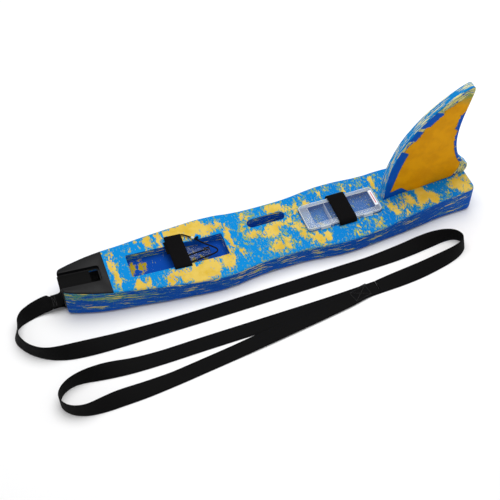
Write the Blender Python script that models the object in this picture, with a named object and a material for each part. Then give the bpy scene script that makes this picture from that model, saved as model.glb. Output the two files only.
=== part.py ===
"""Foam towing board with a tail fin, a strapped utility box and a webbing leash.

The board lies along X with its nose at -X, Z is up, and the origin is under its middle, on the
ground.  All lengths are in metres.  Each named object is one separate piece of the real thing.
"""
import math

import bmesh
import bpy
from mathutils import Matrix, Vector

# ---- Driving dimensions -------------------------------------------------------------------
NOSE_X = -0.504
TAIL_X = 0.504
GAP = 0.0003

# Half width of the deck outline at stations along the board.
HALF_WIDTH = [
    (-0.504, 0.0265), (-0.4995, 0.0345), (-0.487, 0.0402), (-0.466, 0.0470), (-0.434, 0.0560),
    (-0.3955, 0.0635), (-0.350, 0.0695), (-0.290, 0.0788), (-0.240, 0.0850), (-0.190, 0.0908),
    (-0.150, 0.0936), (-0.115, 0.0924), (-0.075, 0.0865), (-0.035, 0.0832), (0.010, 0.0825),
    (0.045, 0.0826), (0.080, 0.0850), (0.120, 0.0902), (0.160, 0.0936), (0.195, 0.0930),
    (0.240, 0.0892), (0.290, 0.0850), (0.340, 0.0800), (0.390, 0.0736), (0.430, 0.0695),
    (0.465, 0.0684), (0.490, 0.0680), (0.499, 0.0655), (0.504, 0.0580),
]
# Height of the deck: it is level amidships and rises to the nose and to the tail.
DECK_HEIGHT = [
    (-0.504, 0.0845), (-0.420, 0.0748), (-0.340, 0.0665), (-0.260, 0.0598), (-0.180, 0.0535),
    (-0.120, 0.0508), (-0.060, 0.0505), (0.080, 0.0505), (0.240, 0.0508), (0.275, 0.0528),
    (0.300, 0.0575), (0.340, 0.0622), (0.400, 0.0655), (0.450, 0.0690), (0.504, 0.0775),
]
STATION_STEP = 0.021
EDGE_TOP = 0.0060
EDGE_BOTTOM = 0.0085
END_ROUND = 0.0110
EDGE_STEPS = 4

# Nose cover, its strap channel and the hole behind it.
COVER_REAR_X = -0.3955
COVER_SKIN = 0.0030
CHANNEL_HALF = 0.0225
CHANNEL_DEPTH = 0.0090
CHANNEL_REAR_X = -0.4095
CHANNEL_LINER = 0.0020
HOLE_FRONT_X = -0.4360
HOLE_REAR_X = -0.4125
HOLE_HALF = 0.0205

# Webbing.
WEB_WIDTH = 0.037
WEB_THICK = 0.0018
NECK_END_X = -0.5305
NECK_Z = 0.0155

# Front recess, hand slot and box pocket.
RECESS = (-0.3440, -0.1115)
RECESS_HALF = 0.0325
RECESS_DEPTH = 0.0245
SLOT_X = (-0.0450, 0.0495)
SLOT_Y = (0.0230, 0.0478)
POCKET_X = (0.0835, 0.2745)
POCKET_HALF = 0.0388
POCKET_DEPTH = 0.0165
BOX_DECK = 0.0505

# Hook and loop tapes.
TAPE = 0.0016
RECESS_FLAP_X = (-0.2455, -0.2045)
RECESS_TAB_X = (-0.2505, -0.2095)
RECESS_NEAR_Y = -0.0385
RECESS_FAR_Y = 0.0440
BOX_TAPE_X = (0.1600, 0.2045)
BOX_NEAR_Y = -0.0405
BOX_FAR_Y = 0.0480
TAPE_SLOT = 0.0030
TAPE_SLOT_DEPTH = 0.0145
ANCHOR_BAR = (0.0050, 0.0032)
RECESS_FLAP_PIVOT = 0.0016
BOX_FLAP_PIVOT = 0.0035

# Box.
BOX_X = (0.0855, 0.2725)
BOX_HALF = 0.0362
BOX_WALL = 0.0016
BOX_FLOOR_Z = BOX_DECK - 0.0160
BOX_RIM_Z = BOX_DECK + 0.0038
LID_TOP_Z = BOX_DECK + 0.0105
LID_HALF = 0.0376
HINGE_Y = 0.0400
HINGE_Z = BOX_DECK + 0.0056
PIN_RADIUS = 0.0009
PIN_CLEARANCE = 0.0001
KNUCKLE_RADIUS = 0.0021
KNUCKLE_X = (0.1180, 0.2440)
KNUCKLE_LENGTH = 0.0090
LATCH_X = (0.1270, 0.2360)
LATCH_WIDTH = 0.0240
LATCH_TOP = 0.0088

# Fin.
FIN_THICK = 0.0200
FIN_FOOT_X = (0.2870, 0.4990)
FIN_ROOT_X = (0.3120, 0.4850)
FIN_ROOT_HALF = 0.0070
FIN_ROOT_DEPTH = 0.0250
FIN_LEADING = [
    (0.287, 0.072), (0.294, 0.146), (0.322, 0.223), (0.364, 0.282), (0.407, 0.3215),
    (0.449, 0.349), (0.466, 0.3575), (0.4745, 0.360), (0.480, 0.356),
]
FIN_TRAILING = [
    (0.482, 0.343), (0.477, 0.316), (0.466, 0.260), (0.4625, 0.215), (0.466, 0.177),
    (0.477, 0.142), (0.497, 0.1145), (0.506, 0.1045), (0.5085, 0.095), (0.507, 0.086),
]

# Leash, as rows of foot x, foot y, foot z and sideways lean of the upper edge from the foot,
# measured to the left of the direction of travel.  A lean of the full width is flat webbing.
LEASH_MAIN = [
    (-0.5312, -0.0185, 0.0146, -0.0370), (-0.5390, -0.0185, 0.0118, -0.0345),
    (-0.5520, -0.0168, 0.0060, -0.0270), (-0.5680, -0.0175, 0.0020, -0.0230),
    (-0.5830, -0.0205, 0.0000, -0.0190), (-0.5990, -0.0255, 0.0000, -0.0120),
    (-0.6140, -0.0330, 0.0000, 0.0000), (-0.6245, -0.0440, 0.0000, 0.0110),
    (-0.6300, -0.0580, 0.0000, 0.0125), (-0.6290, -0.0740, 0.0000, 0.0100),
    (-0.6215, -0.0900, 0.0000, 0.0070), (-0.6100, -0.1060, 0.0000, 0.0050),
    (-0.5950, -0.1210, 0.0000, 0.0050), (-0.5760, -0.1350, 0.0000, 0.0080),
    (-0.5520, -0.1465, 0.0000, 0.0150), (-0.5180, -0.1562, 0.0000, 0.0260),
    (-0.4640, -0.1612, 0.0000, 0.0335), (-0.4000, -0.1622, 0.0000, 0.0365),
    (-0.3000, -0.1619, 0.0000, 0.0370), (-0.2000, -0.1614, 0.0000, 0.0370),
    (-0.1000, -0.1603, 0.0000, 0.0370), (0.0000, -0.1588, 0.0000, 0.0370),
    (0.1000, -0.1572, 0.0000, 0.0370), (0.1900, -0.1558, 0.0000, 0.0370),
    (0.2500, -0.1545, 0.0000, 0.0365), (0.3000, -0.1510, 0.0000, 0.0350),
    (0.3400, -0.1465, 0.0000, 0.0300), (0.3700, -0.1425, 0.0000, 0.0220),
    (0.3950, -0.1395, 0.0000, 0.0120), (0.4150, -0.1405, 0.0000, 0.0030),
    (0.4280, -0.1470, 0.0000, -0.0030), (0.4345, -0.1580, 0.0000, -0.0060),
    (0.4325, -0.1710, 0.0000, -0.0080), (0.4220, -0.1830, 0.0000, -0.0110),
    (0.4050, -0.1935, 0.0000, -0.0150), (0.3800, -0.2025, 0.0000, -0.0200),
    (0.3450, -0.2110, 0.0000, -0.0255), (0.3000, -0.2190, 0.0000, -0.0300),
    (0.2500, -0.2240, 0.0000, -0.0345), (0.1905, -0.2262, 0.0000, -0.0370),
]
LEASH_LOOP = [
    (0.1900, -0.2262, 0.0000, -0.0370), (0.1400, -0.2285, 0.0000, -0.0370),
    (0.0600, -0.2312, 0.0000, -0.0370), (-0.0400, -0.2326, 0.0000, -0.0370),
    (-0.1400, -0.2338, 0.0000, -0.0370), (-0.2400, -0.2350, 0.0000, -0.0370),
    (-0.3300, -0.2368, 0.0000, -0.0370), (-0.4000, -0.2362, 0.0000, -0.0366),
    (-0.4450, -0.2330, 0.0000, -0.0330), (-0.4800, -0.2285, 0.0000, -0.0240),
    (-0.5080, -0.2240, 0.0000, -0.0140), (-0.5320, -0.2232, 0.0000, -0.0060),
    (-0.5520, -0.2290, 0.0000, -0.0020), (-0.5660, -0.2400, 0.0000, 0.0000),
    (-0.5720, -0.2550, 0.0000, 0.0000), (-0.5695, -0.2705, 0.0000, 0.0010),
    (-0.5590, -0.2850, 0.0000, 0.0020), (-0.5420, -0.2965, 0.0000, 0.0050),
    (-0.5180, -0.3045, 0.0000, 0.0110), (-0.4850, -0.3078, 0.0000, 0.0220),
    (-0.4450, -0.3070, 0.0000, 0.0315), (-0.3900, -0.3045, 0.0000, 0.0360),
    (-0.3200, -0.2975, 0.0000, 0.0370), (-0.2500, -0.2888, 0.0000, 0.0370),
    (-0.1800, -0.2800, 0.0004, 0.0370), (-0.1200, -0.2722, 0.0022, 0.0370),
    (-0.0600, -0.2640, 0.0023, 0.0370), (0.0000, -0.2555, 0.0023, 0.0370),
    (0.0600, -0.2465, 0.0023, 0.0370), (0.1100, -0.2385, 0.0023, 0.0370),
    (0.1450, -0.2310, 0.0023, 0.0370), (0.1720, -0.2255, 0.0023, 0.0370),
]
LEASH_SUBSTEPS = 4
STITCH_X = (0.122, 0.164)
STITCH_THREAD = 0.0012
STITCH_HEIGHT = 0.0007

# Things kept in the front recess.
CORD_RADIUS = 0.0014
POUCH_CORD = [
    (-0.2030, 0.0535, 0.0592), (-0.1935, 0.0470, 0.0590), (-0.1850, 0.0398, 0.0584),
    (-0.1760, 0.0322, 0.0570), (-0.1670, 0.0245, 0.0530), (-0.1560, 0.0160, 0.0492),
    (-0.1460, 0.0080, 0.0470), (-0.1375, 0.0000, 0.0458), (-0.1335, -0.0065, 0.0450),
    (-0.1360, -0.0118, 0.0446), (-0.1440, -0.0150, 0.0446), (-0.1560, -0.0172, 0.0452),
    (-0.1700, -0.0190, 0.0462), (-0.1850, -0.0215, 0.0478), (-0.2010, -0.0245, 0.0495),
]
TETHER = [
    (-0.2010, -0.0060, 0.0525), (-0.1920, -0.0050, 0.0520), (-0.1820, -0.0035, 0.0508),
    (-0.1720, -0.0015, 0.0490), (-0.1650, 0.0005, 0.0478),
]
BEAD_CENTRE = (-0.1805, 0.0360, 0.0578)
BEAD_RADIUS = 0.0034
CLIP_CENTRE = (-0.1560, 0.0030, 0.0462)

COLOURS = {
    "foam": ((0.010, 0.270, 0.720), 0.62, 0.0, 1.0),
    "fin_foam": ((0.520, 0.250, 0.005), 0.62, 0.0, 1.0),
    "cover": ((0.014, 0.014, 0.015), 0.42, 0.0, 1.0),
    "webbing": ((0.008, 0.008, 0.009), 0.75, 0.0, 1.0),
    "tape": ((0.010, 0.009, 0.009), 0.85, 0.0, 1.0),
    "clear": ((0.780, 0.830, 0.920), 0.15, 0.0, 0.35),
    "steel": ((0.600, 0.610, 0.620), 0.30, 1.0, 1.0),
    "label": ((0.850, 0.860, 0.900), 0.45, 0.0, 1.0),
    "thread": ((0.020, 0.020, 0.022), 0.70, 0.0, 1.0),
    "black_plastic": ((0.012, 0.012, 0.013), 0.35, 0.0, 1.0),
}


# ---- Helpers ------------------------------------------------------------------------------
def clear_scene():
    for obj in list(bpy.data.objects):
        bpy.data.objects.remove(obj, do_unlink=True)


def material(name):
    """Return the named material, made on first use."""
    found = bpy.data.materials.get(name)
    if found:
        return found
    colour, roughness, metallic, alpha = COLOURS[name]
    made = bpy.data.materials.new(name)
    made.use_nodes = True
    shader = made.node_tree.nodes["Principled BSDF"]
    shader.inputs["Base Color"].default_value = (*colour, 1.0)
    shader.inputs["Roughness"].default_value = roughness
    shader.inputs["Metallic"].default_value = metallic
    shader.inputs["Alpha"].default_value = alpha
    return made


def add_mesh(name, verts, faces, finish=None, smooth=False):
    """Make one mesh object from vertices and faces, with its faces turned outwards."""
    mesh = bpy.data.meshes.new(name)
    mesh.from_pydata([tuple(v) for v in verts], [], faces)
    bm = bmesh.new()
    bm.from_mesh(mesh)
    bmesh.ops.recalc_face_normals(bm, faces=bm.faces)
    bm.to_mesh(mesh)
    bm.free()
    if smooth:
        mesh.shade_smooth()
        mesh.set_sharp_from_angle(angle=math.radians(40))
    obj = bpy.data.objects.new(name, mesh)
    bpy.context.scene.collection.objects.link(obj)
    if finish:
        mesh.materials.append(material(finish))
    return obj


def as_cutter(obj):
    obj.hide_render = True
    obj.display_type = "WIRE"
    return obj


def combine(obj, tool, operation="DIFFERENCE"):
    """Apply one exact Boolean to obj, then drop the tool."""
    modifier = obj.modifiers.new(operation.lower(), "BOOLEAN")
    modifier.operation = operation
    modifier.object = as_cutter(tool)
    graph = bpy.context.evaluated_depsgraph_get()
    result = bpy.data.meshes.new_from_object(obj.evaluated_get(graph))
    obj.modifiers.clear()
    obj.data = result
    bpy.data.objects.remove(tool, do_unlink=True)
    return obj


def hinge_at(obj, pivot):
    """Put the origin of a moving piece on its hinge line, without moving the piece."""
    obj.data.transform(Matrix.Translation(-Vector(pivot)))
    obj.location = pivot


def curve_at(table, x):
    """Value at x of the smooth curve through the (x, value) rows of a table."""
    last = len(table) - 1
    if x <= table[0][0]:
        return table[0][1]
    if x >= table[last][0]:
        return table[last][1]
    i = next(k for k in range(last) if x <= table[k + 1][0])
    (x0, y0), (x1, y1) = table[i], table[i + 1]

    def slope(k):
        if k == 0 or k == last:
            a, b = max(k - 1, 0), min(k + 1, last)
            return (table[b][1] - table[a][1]) / (table[b][0] - table[a][0])
        before = (table[k][1] - table[k - 1][1]) / (table[k][0] - table[k - 1][0])
        after = (table[k + 1][1] - table[k][1]) / (table[k + 1][0] - table[k][0])
        if before * after <= 0:
            return 0.0
        return 2 * before * after / (before + after)

    span = x1 - x0
    t = (x - x0) / span
    m0, m1 = slope(i) * span, slope(i + 1) * span
    return ((2 * t**3 - 3 * t**2 + 1) * y0 + (t**3 - 2 * t**2 + t) * m0
            + (3 * t**2 - 2 * t**3) * y1 + (t**3 - t**2) * m1)


def deck(x):
    return curve_at(DECK_HEIGHT, x)


def deck_line(x0, x1, rise):
    """Straight slope that follows the deck between x0 and x1, raised by rise."""
    start, end = deck(x0) + rise, deck(x1) + rise
    return lambda x: start + (end - start) * (x - x0) / (x1 - x0)


def facet(x):
    """Height of the faceted deck at x, where other pieces stand on it."""
    places = stations()
    i = max(k for k in range(len(places) - 1) if places[k] <= x)
    a, b = places[i], places[i + 1]
    return deck(a) + (deck(b) - deck(a)) * (x - a) / (b - a)


def loft(name, rings, finish=None, smooth=False, closed=False):
    """Skin a list of equal rings of points and cap both ends, or join them when closed."""
    size = len(rings[0])
    verts = [p for ring in rings for p in ring]
    faces = []
    turns = len(rings) if closed else len(rings) - 1
    for i in range(turns):
        a, b = i * size, ((i + 1) % len(rings)) * size
        for k in range(size):
            n = (k + 1) % size
            faces.append((a + k, a + n, b + n, b + k))
    if not closed:
        faces.append(tuple(range(size)))
        faces.append(tuple(range(len(verts) - size, len(verts))))
    return add_mesh(name, verts, faces, finish, smooth)


def prism(name, outline, low, high, finish=None):
    """Extrude a plan outline from height low(x) to height high(x)."""
    bottom = [(x, y, low(x)) for x, y in outline]
    top = [(x, y, high(x)) for x, y in outline]
    return loft(name, [bottom, top], finish)


def box(name, x, y, z, finish=None):
    outline = [(x[0], y[0]), (x[1], y[0]), (x[1], y[1]), (x[0], y[1])]
    return prism(name, outline, lambda _: z[0], lambda _: z[1], finish)


def rounded_outline(x, y, radius, steps=4):
    """Plan rectangle with round corners."""
    corners = [(x[1] - radius, y[1] - radius, 0), (x[0] + radius, y[1] - radius, 90),
               (x[0] + radius, y[0] + radius, 180), (x[1] - radius, y[0] + radius, 270)]
    points = []
    for cx, cy, start in corners:
        for k in range(steps + 1):
            angle = math.radians(start + 90 * k / steps)
            points.append((cx + radius * math.cos(angle), cy + radius * math.sin(angle)))
    return points


def level(z):
    return lambda _: z


def side_profile(name, profile, y, finish=None, smooth=False):
    """Extrude an (x, z) profile across the board between two y values."""
    rings = [[(px, side, pz) for px, pz in profile] for side in y]
    return loft(name, rings, finish, smooth)


def x_cylinder(name, centre, radius, length, finish=None, sides=12):
    rings = []
    for end in (-0.5, 0.5):
        ring = []
        for k in range(sides):
            angle = 2 * math.pi * k / sides
            ring.append((centre[0] + end * length, centre[1] + radius * math.cos(angle),
                         centre[2] + radius * math.sin(angle)))
        rings.append(ring)
    return loft(name, rings, finish, smooth=True)


def stations():
    """Places along the board where its section is drawn, closer together at both ends."""
    ends = [0.0, 0.0012, 0.0030, 0.0055, 0.0085, 0.0120, 0.0170, 0.0270]
    middle = int((TAIL_X - NOSE_X - 2 * ends[-1]) / STATION_STEP)
    inner = [NOSE_X + ends[-1] + (TAIL_X - NOSE_X - 2 * ends[-1]) * k / middle
             for k in range(1, middle)]
    return [NOSE_X + e for e in ends] + inner + [TAIL_X - e for e in reversed(ends)]


def end_round(x):
    """How far the bottom edge has risen at x because the ends are rounded underneath."""
    inside = min(x - NOSE_X, TAIL_X - x)
    if inside >= END_ROUND:
        return 0.0
    return END_ROUND - math.sqrt(END_ROUND**2 - (END_ROUND - inside)**2)


def top_round(x):
    inside = min(x - NOSE_X, TAIL_X - x)
    radius = EDGE_TOP * 0.6
    if inside >= radius:
        return 0.0
    return radius - math.sqrt(radius**2 - (radius - inside)**2)


def section(x):
    """One closed cross-section of the board at x, as a ring of points."""
    half = curve_at(HALF_WIDTH, x)
    low = end_round(x)
    high = deck(x) - top_round(x)
    corners = [(half, high, EDGE_TOP, 0), (-half, high, EDGE_TOP, 90),
               (-half, low, EDGE_BOTTOM, 180), (half, low, EDGE_BOTTOM, 270)]
    ring = []
    for cy, cz, radius, start in corners:
        my = cy - math.copysign(radius, cy)
        mz = cz - radius if cz == high else cz + radius
        for k in range(EDGE_STEPS + 1):
            angle = math.radians(start + 90 * k / EDGE_STEPS)
            ring.append((x, my + radius * math.cos(angle), mz + radius * math.sin(angle)))
    return ring


def board_solid(name, finish=None):
    return loft(name, [section(x) for x in stations()], finish, smooth=True)


def frame_points(x0, x1, count):
    return [x0 + (x1 - x0) * k / count for k in range(count + 1)]


# ---- Hull and nose ------------------------------------------------------------------------
def nose_block(name, sink, front):
    """Everything above the foam of the nose: deck lowered by sink, face set back by front."""
    xs = frame_points(NOSE_X + front, COVER_REAR_X + (sink - COVER_SKIN), 8)
    foam_top = [(x, deck(x) - sink) for x in xs]
    profile = foam_top + [(xs[-1], 0.2), (NOSE_X - 0.02, 0.2), (NOSE_X - 0.02, -0.02),
                          (xs[0], -0.02)]
    return side_profile(name, profile, (-0.12, 0.12))


def channel_void(name, half, rear, depth):
    outline = rounded_outline((NOSE_X - 0.03, rear), (-half, half), 0.006)
    return prism(name, outline, deck_line(NOSE_X, CHANNEL_REAR_X, -depth),
                 deck_line(NOSE_X, CHANNEL_REAR_X, 0.03))


def webbing_ribbon(name, profile, half, thick, finish=None):
    """Flat strap that follows an (x, z) centre line, as wide as 2 * half across the board."""
    rings = []
    for i, (x, z) in enumerate(profile):
        a = profile[max(i - 1, 0)]
        b = profile[min(i + 1, len(profile) - 1)]
        run = Vector((b[0] - a[0], b[1] - a[1])).normalized()
        nx, nz = -run.y * thick / 2, run.x * thick / 2
        rings.append([(x + nx, -half, z + nz), (x + nx, half, z + nz),
                      (x - nx, half, z - nz), (x - nx, -half, z - nz)])
    return loft(name, rings, finish)


def nose_strap_path():
    """Centre line of the strap: up the nose, along the channel, down the hole and back."""
    lift = WEB_THICK / 2 + GAP
    face = NOSE_X - lift
    wall = HOLE_FRONT_X + lift + 0.0004
    split = WEB_THICK / 2 + GAP / 2
    floor = deck_line(NOSE_X, CHANNEL_REAR_X, -CHANNEL_DEPTH)
    lip, edge = floor(NOSE_X), floor(HOLE_FRONT_X)
    up = [(NECK_END_X, NECK_Z + split), (-0.5180, NECK_Z + split),
          (-0.5115, NECK_Z + split + 0.0012), (face - 0.0022, NECK_Z + 0.0060),
          (face - 0.0004, NECK_Z + 0.0120), (face, 0.0400), (face, lip - 0.0010),
          (face + 0.0003, lip + 0.0010), (NOSE_X + 0.0004, lip + lift + 0.0002)]
    top = [(x, floor(x) + lift) for x in (-0.4960, -0.4800, -0.4600, -0.4400)]
    down = [(HOLE_FRONT_X - 0.0002, edge + lift), (wall - 0.0003, edge + 0.0008),
            (wall, edge - 0.0014), (wall, 0.0300), (wall, 0.0075), (wall - 0.0016, 0.0034),
            (wall - 0.0055, 0.0018)]
    under = [(-0.4700, 0.0018), (-0.4910, 0.0018), (-0.4985, 0.0034), (-0.5040, 0.0070),
             (-0.5085, 0.0112), (-0.5130, NECK_Z - split - 0.0008),
             (-0.5190, NECK_Z - split), (NECK_END_X, NECK_Z - split)]
    return up + top + down + under


def make_hull():
    hull = board_solid("hull_foam", "foam")
    combine(hull, nose_block("nose_cut", COVER_SKIN + GAP, COVER_SKIN + GAP))
    liner = CHANNEL_LINER + GAP
    combine(hull, channel_void("channel_cut", CHANNEL_HALF + liner, CHANNEL_REAR_X + liner,
                               CHANNEL_DEPTH + liner))
    hole = rounded_outline((HOLE_FRONT_X, HOLE_REAR_X), (-HOLE_HALF, HOLE_HALF), 0.004)
    combine(hull, prism("hole_cut", hole, level(-0.01), level(0.2)))
    combine(hull, webbing_ribbon("strap_cut", nose_strap_path(), WEB_WIDTH / 2 + 0.0005,
                                 WEB_THICK + 0.0012))
    recess = rounded_outline(RECESS, (-RECESS_HALF, RECESS_HALF), 0.004)
    combine(hull, prism("recess_cut", recess, recess_floor(), level(0.2)))
    slot = rounded_outline(SLOT_X, SLOT_Y, 0.0122, 6)
    combine(hull, prism("slot_cut", slot, level(-0.01), level(0.2)))
    pocket = rounded_outline(POCKET_X, (-POCKET_HALF, POCKET_HALF), 0.009)
    combine(hull, prism("pocket_cut", pocket, level(BOX_DECK - POCKET_DEPTH), level(0.2)))
    for x, y in tape_slots():
        combine(hull, tape_slot_cut(x, y))
    root = rounded_outline((FIN_ROOT_X[0] - GAP, FIN_ROOT_X[1] + GAP),
                           (-FIN_ROOT_HALF - GAP, FIN_ROOT_HALF + GAP), 0.004)
    floor = deck(FIN_ROOT_X[0]) - FIN_ROOT_DEPTH - GAP
    combine(hull, prism("fin_slot_cut", root, level(floor), level(0.2)))
    return hull


def recess_floor():
    return deck_line(RECESS[0], RECESS[1], -RECESS_DEPTH)


def tape_slots():
    """Where each hook and loop tape enters the deck: its x range and its y."""
    return [(RECESS_FLAP_X, RECESS_NEAR_Y), (RECESS_TAB_X, RECESS_FAR_Y),
            (BOX_TAPE_X, BOX_NEAR_Y - 0.0020), (BOX_TAPE_X, BOX_FAR_Y)]


def tape_slot_cut(x, y):
    """T-shaped slot: a narrow mouth above a wider seat for the anchor bar."""
    mouth = (x[0] - 0.0006, x[1] + 0.0006)
    base = deck((x[0] + x[1]) / 2) - TAPE_SLOT_DEPTH
    half, seat = TAPE_SLOT / 2, ANCHOR_BAR[0] / 2 + GAP
    top = 0.03 + TAPE_SLOT_DEPTH
    profile = [(-seat, -GAP), (seat, -GAP), (seat, ANCHOR_BAR[1] + GAP),
               (half, ANCHOR_BAR[1] + GAP), (half, top), (-half, top),
               (-half, ANCHOR_BAR[1] + GAP), (-seat, ANCHOR_BAR[1] + GAP)]
    return loft("tape_slot", [[(px, y + py, base + pz) for py, pz in profile] for px in mouth])


def make_nose_cover():
    cover = board_solid("nose_cover", "cover")
    combine(cover, box("rear_cut", (COVER_REAR_X, 0.6), (-0.2, 0.2), (-0.05, 0.3)))
    xs = frame_points(NOSE_X + COVER_SKIN, COVER_REAR_X + 0.01, 8)
    top = [(x, deck(x) - COVER_SKIN) for x in xs]
    core = side_profile("core", top + [(xs[-1], -0.02), (xs[0], -0.02)], (-0.12, 0.12))
    combine(core, channel_void("liner_void", CHANNEL_HALF + CHANNEL_LINER,
                               CHANNEL_REAR_X + CHANNEL_LINER,
                               CHANNEL_DEPTH + CHANNEL_LINER))
    combine(cover, core)
    combine(cover, channel_void("channel_void", CHANNEL_HALF, CHANNEL_REAR_X, CHANNEL_DEPTH))
    hole = rounded_outline((HOLE_FRONT_X, HOLE_REAR_X - 0.0010),
                           (-HOLE_HALF, HOLE_HALF), 0.004)
    combine(cover, prism("hole_void", hole, level(-0.01), level(0.2)))
    combine(cover, box("foot_cut", (-0.6, -0.45), (-0.2, 0.2), (-0.05, NECK_Z + 0.0065)))
    return cover


def make_nose_webbing():
    return webbing_ribbon("nose_webbing", nose_strap_path(), WEB_WIDTH / 2, WEB_THICK,
                          "webbing")


def make_bar_tack():
    """Raised thread of the seam that joins the two layers of the neck."""
    z = NECK_Z + WEB_THICK + GAP / 2 + GAP
    x = (NECK_END_X + 0.0015, NECK_END_X + 0.0095)
    return box("nose_bar_tack", x, (-0.0150, 0.0150), (z, z + STITCH_HEIGHT), "thread")


# ---- Fin ----------------------------------------------------------------------------------
def make_fin():
    """Shark fin: one foam slab with a tongue below it that is glued into the hull."""
    inner = [x for x in reversed(stations()) if FIN_FOOT_X[0] < x < FIN_FOOT_X[1]]
    foot = [(x, facet(x) + GAP) for x in [FIN_FOOT_X[1]] + inner + [FIN_FOOT_X[0]]]
    outline = smooth_route(FIN_LEADING, 3) + smooth_route(FIN_TRAILING, 2) + foot
    half, bevel = FIN_THICK / 2, 0.0012
    centre = Vector((0.40, 0.17))

    def ring(y, inset):
        points = []
        for x, z in outline:
            towards = (centre - Vector((x, z))).normalized() * inset
            standing = (x, z) not in foot
            points.append((x + towards.x, y, z + towards.y) if standing else (x, y, z))
        return points

    rings = [ring(-half, bevel), ring(-half + bevel, 0.0), ring(half - bevel, 0.0),
             ring(half, bevel)]
    fin = loft("fin", rings, "fin_foam", smooth=True)
    tongue = rounded_outline(FIN_ROOT_X, (-FIN_ROOT_HALF, FIN_ROOT_HALF), 0.004)
    floor = deck(FIN_ROOT_X[0]) - FIN_ROOT_DEPTH
    combine(fin, prism("tongue", tongue, level(floor), level(0.1000)), "UNION")
    return fin


# ---- Hook and loop tapes ------------------------------------------------------------------
def tape(name, x, profile, finish="tape"):
    """Tape that runs across the board: rows of y and height above the deck, at centre."""
    rings = []
    for i, (y, rise) in enumerate(profile):
        a = profile[max(i - 1, 0)]
        b = profile[min(i + 1, len(profile) - 1)]
        run = Vector((b[0] - a[0], b[1] - a[1])).normalized()
        ny, nz = -run.y * TAPE / 2, run.x * TAPE / 2
        rings.append([(x[0], y + ny, deck(x[0]) + rise + nz), (x[1], y + ny, deck(x[1]) + rise + nz),
                      (x[1], y - ny, deck(x[1]) + rise - nz), (x[0], y - ny, deck(x[0]) + rise - nz)])
    return loft(name, rings, finish)


def anchor(name, x, y):
    """Buried tail of a tape, closed round the bar that holds it in the foam."""
    base = deck((x[0] + x[1]) / 2) - TAPE_SLOT_DEPTH
    top = min(deck(x[0]), deck(x[1])) - base - 0.0022
    half, seat = TAPE / 2, ANCHOR_BAR[0] / 2
    profile = [(-seat, 0.0), (seat, 0.0), (seat, ANCHOR_BAR[1]), (half, ANCHOR_BAR[1]),
               (half, top), (-half, top), (-half, ANCHOR_BAR[1]), (-seat, ANCHOR_BAR[1])]
    rings = [[(px, y + py, base + pz) for py, pz in profile] for px in x]
    return loft(name, rings, "tape")


def make_tapes():
    over = 0.0036
    flap = [(RECESS_NEAR_Y, 0.0001), (RECESS_NEAR_Y + 0.0003, 0.0014),
            (RECESS_NEAR_Y + 0.0022, 0.0030), (-0.0300, over), (-0.0150, over - 0.0004),
            (0.0000, over - 0.0004), (0.0150, over), (0.0300, over + 0.0002),
            (0.0440, over + 0.0002), (0.0500, 0.0030), (0.0560, 0.0016)]
    middle = (RECESS_FLAP_X[0] + RECESS_FLAP_X[1]) / 2
    hinge_at(tape("recess_strap_flap", RECESS_FLAP_X, flap),
             (middle, RECESS_NEAR_Y, deck(middle) + RECESS_FLAP_PIVOT))
    under = 0.0013
    tab = [(RECESS_FAR_Y, -0.0006), (RECESS_FAR_Y - 0.0010, 0.0008),
           (RECESS_FAR_Y - 0.0030, under), (0.0300, under), (0.0200, under - 0.0001),
           (0.0085, under - 0.0004)]
    tape("recess_strap_tab", RECESS_TAB_X, tab)
    top = LID_TOP_Z - BOX_DECK + 0.0020
    lid_flap = [(BOX_FAR_Y, 0.0004), (BOX_FAR_Y - 0.0008, 0.0040), (BOX_FAR_Y - 0.0028, 0.0090),
                (BOX_FAR_Y - 0.0070, top), (0.0340, top + 0.0004), (0.0150, top + 0.0004),
                (-0.0150, top + 0.0004), (-0.0340, top + 0.0003), (-0.0395, top - 0.0006),
                (-0.0432, top - 0.0040), (-0.0446, 0.0055), (-0.0450, 0.0012)]
    middle = (BOX_TAPE_X[0] + BOX_TAPE_X[1]) / 2
    hinge_at(tape("box_strap_flap", BOX_TAPE_X, lid_flap),
             (middle, BOX_FAR_Y - 0.0006, BOX_DECK + BOX_FLAP_PIVOT))
    lid_tab = [(BOX_NEAR_Y - 0.0020, -0.0006), (BOX_NEAR_Y - 0.0018, 0.0030),
               (BOX_NEAR_Y - 0.0014, 0.0075)]
    tape("box_strap_tab", (BOX_TAPE_X[0] + 0.0015, BOX_TAPE_X[1] - 0.0015), lid_tab)
    names = ("recess_anchor_near", "recess_anchor_far", "box_anchor_near", "box_anchor_far")
    for name, (x, y) in zip(names, tape_slots()):
        anchor(name, x, y)


# ---- Utility box --------------------------------------------------------------------------
def knuckle(x, length):
    return x_cylinder("knuckle", (x, HINGE_Y, HINGE_Z), KNUCKLE_RADIUS, length)


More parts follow.
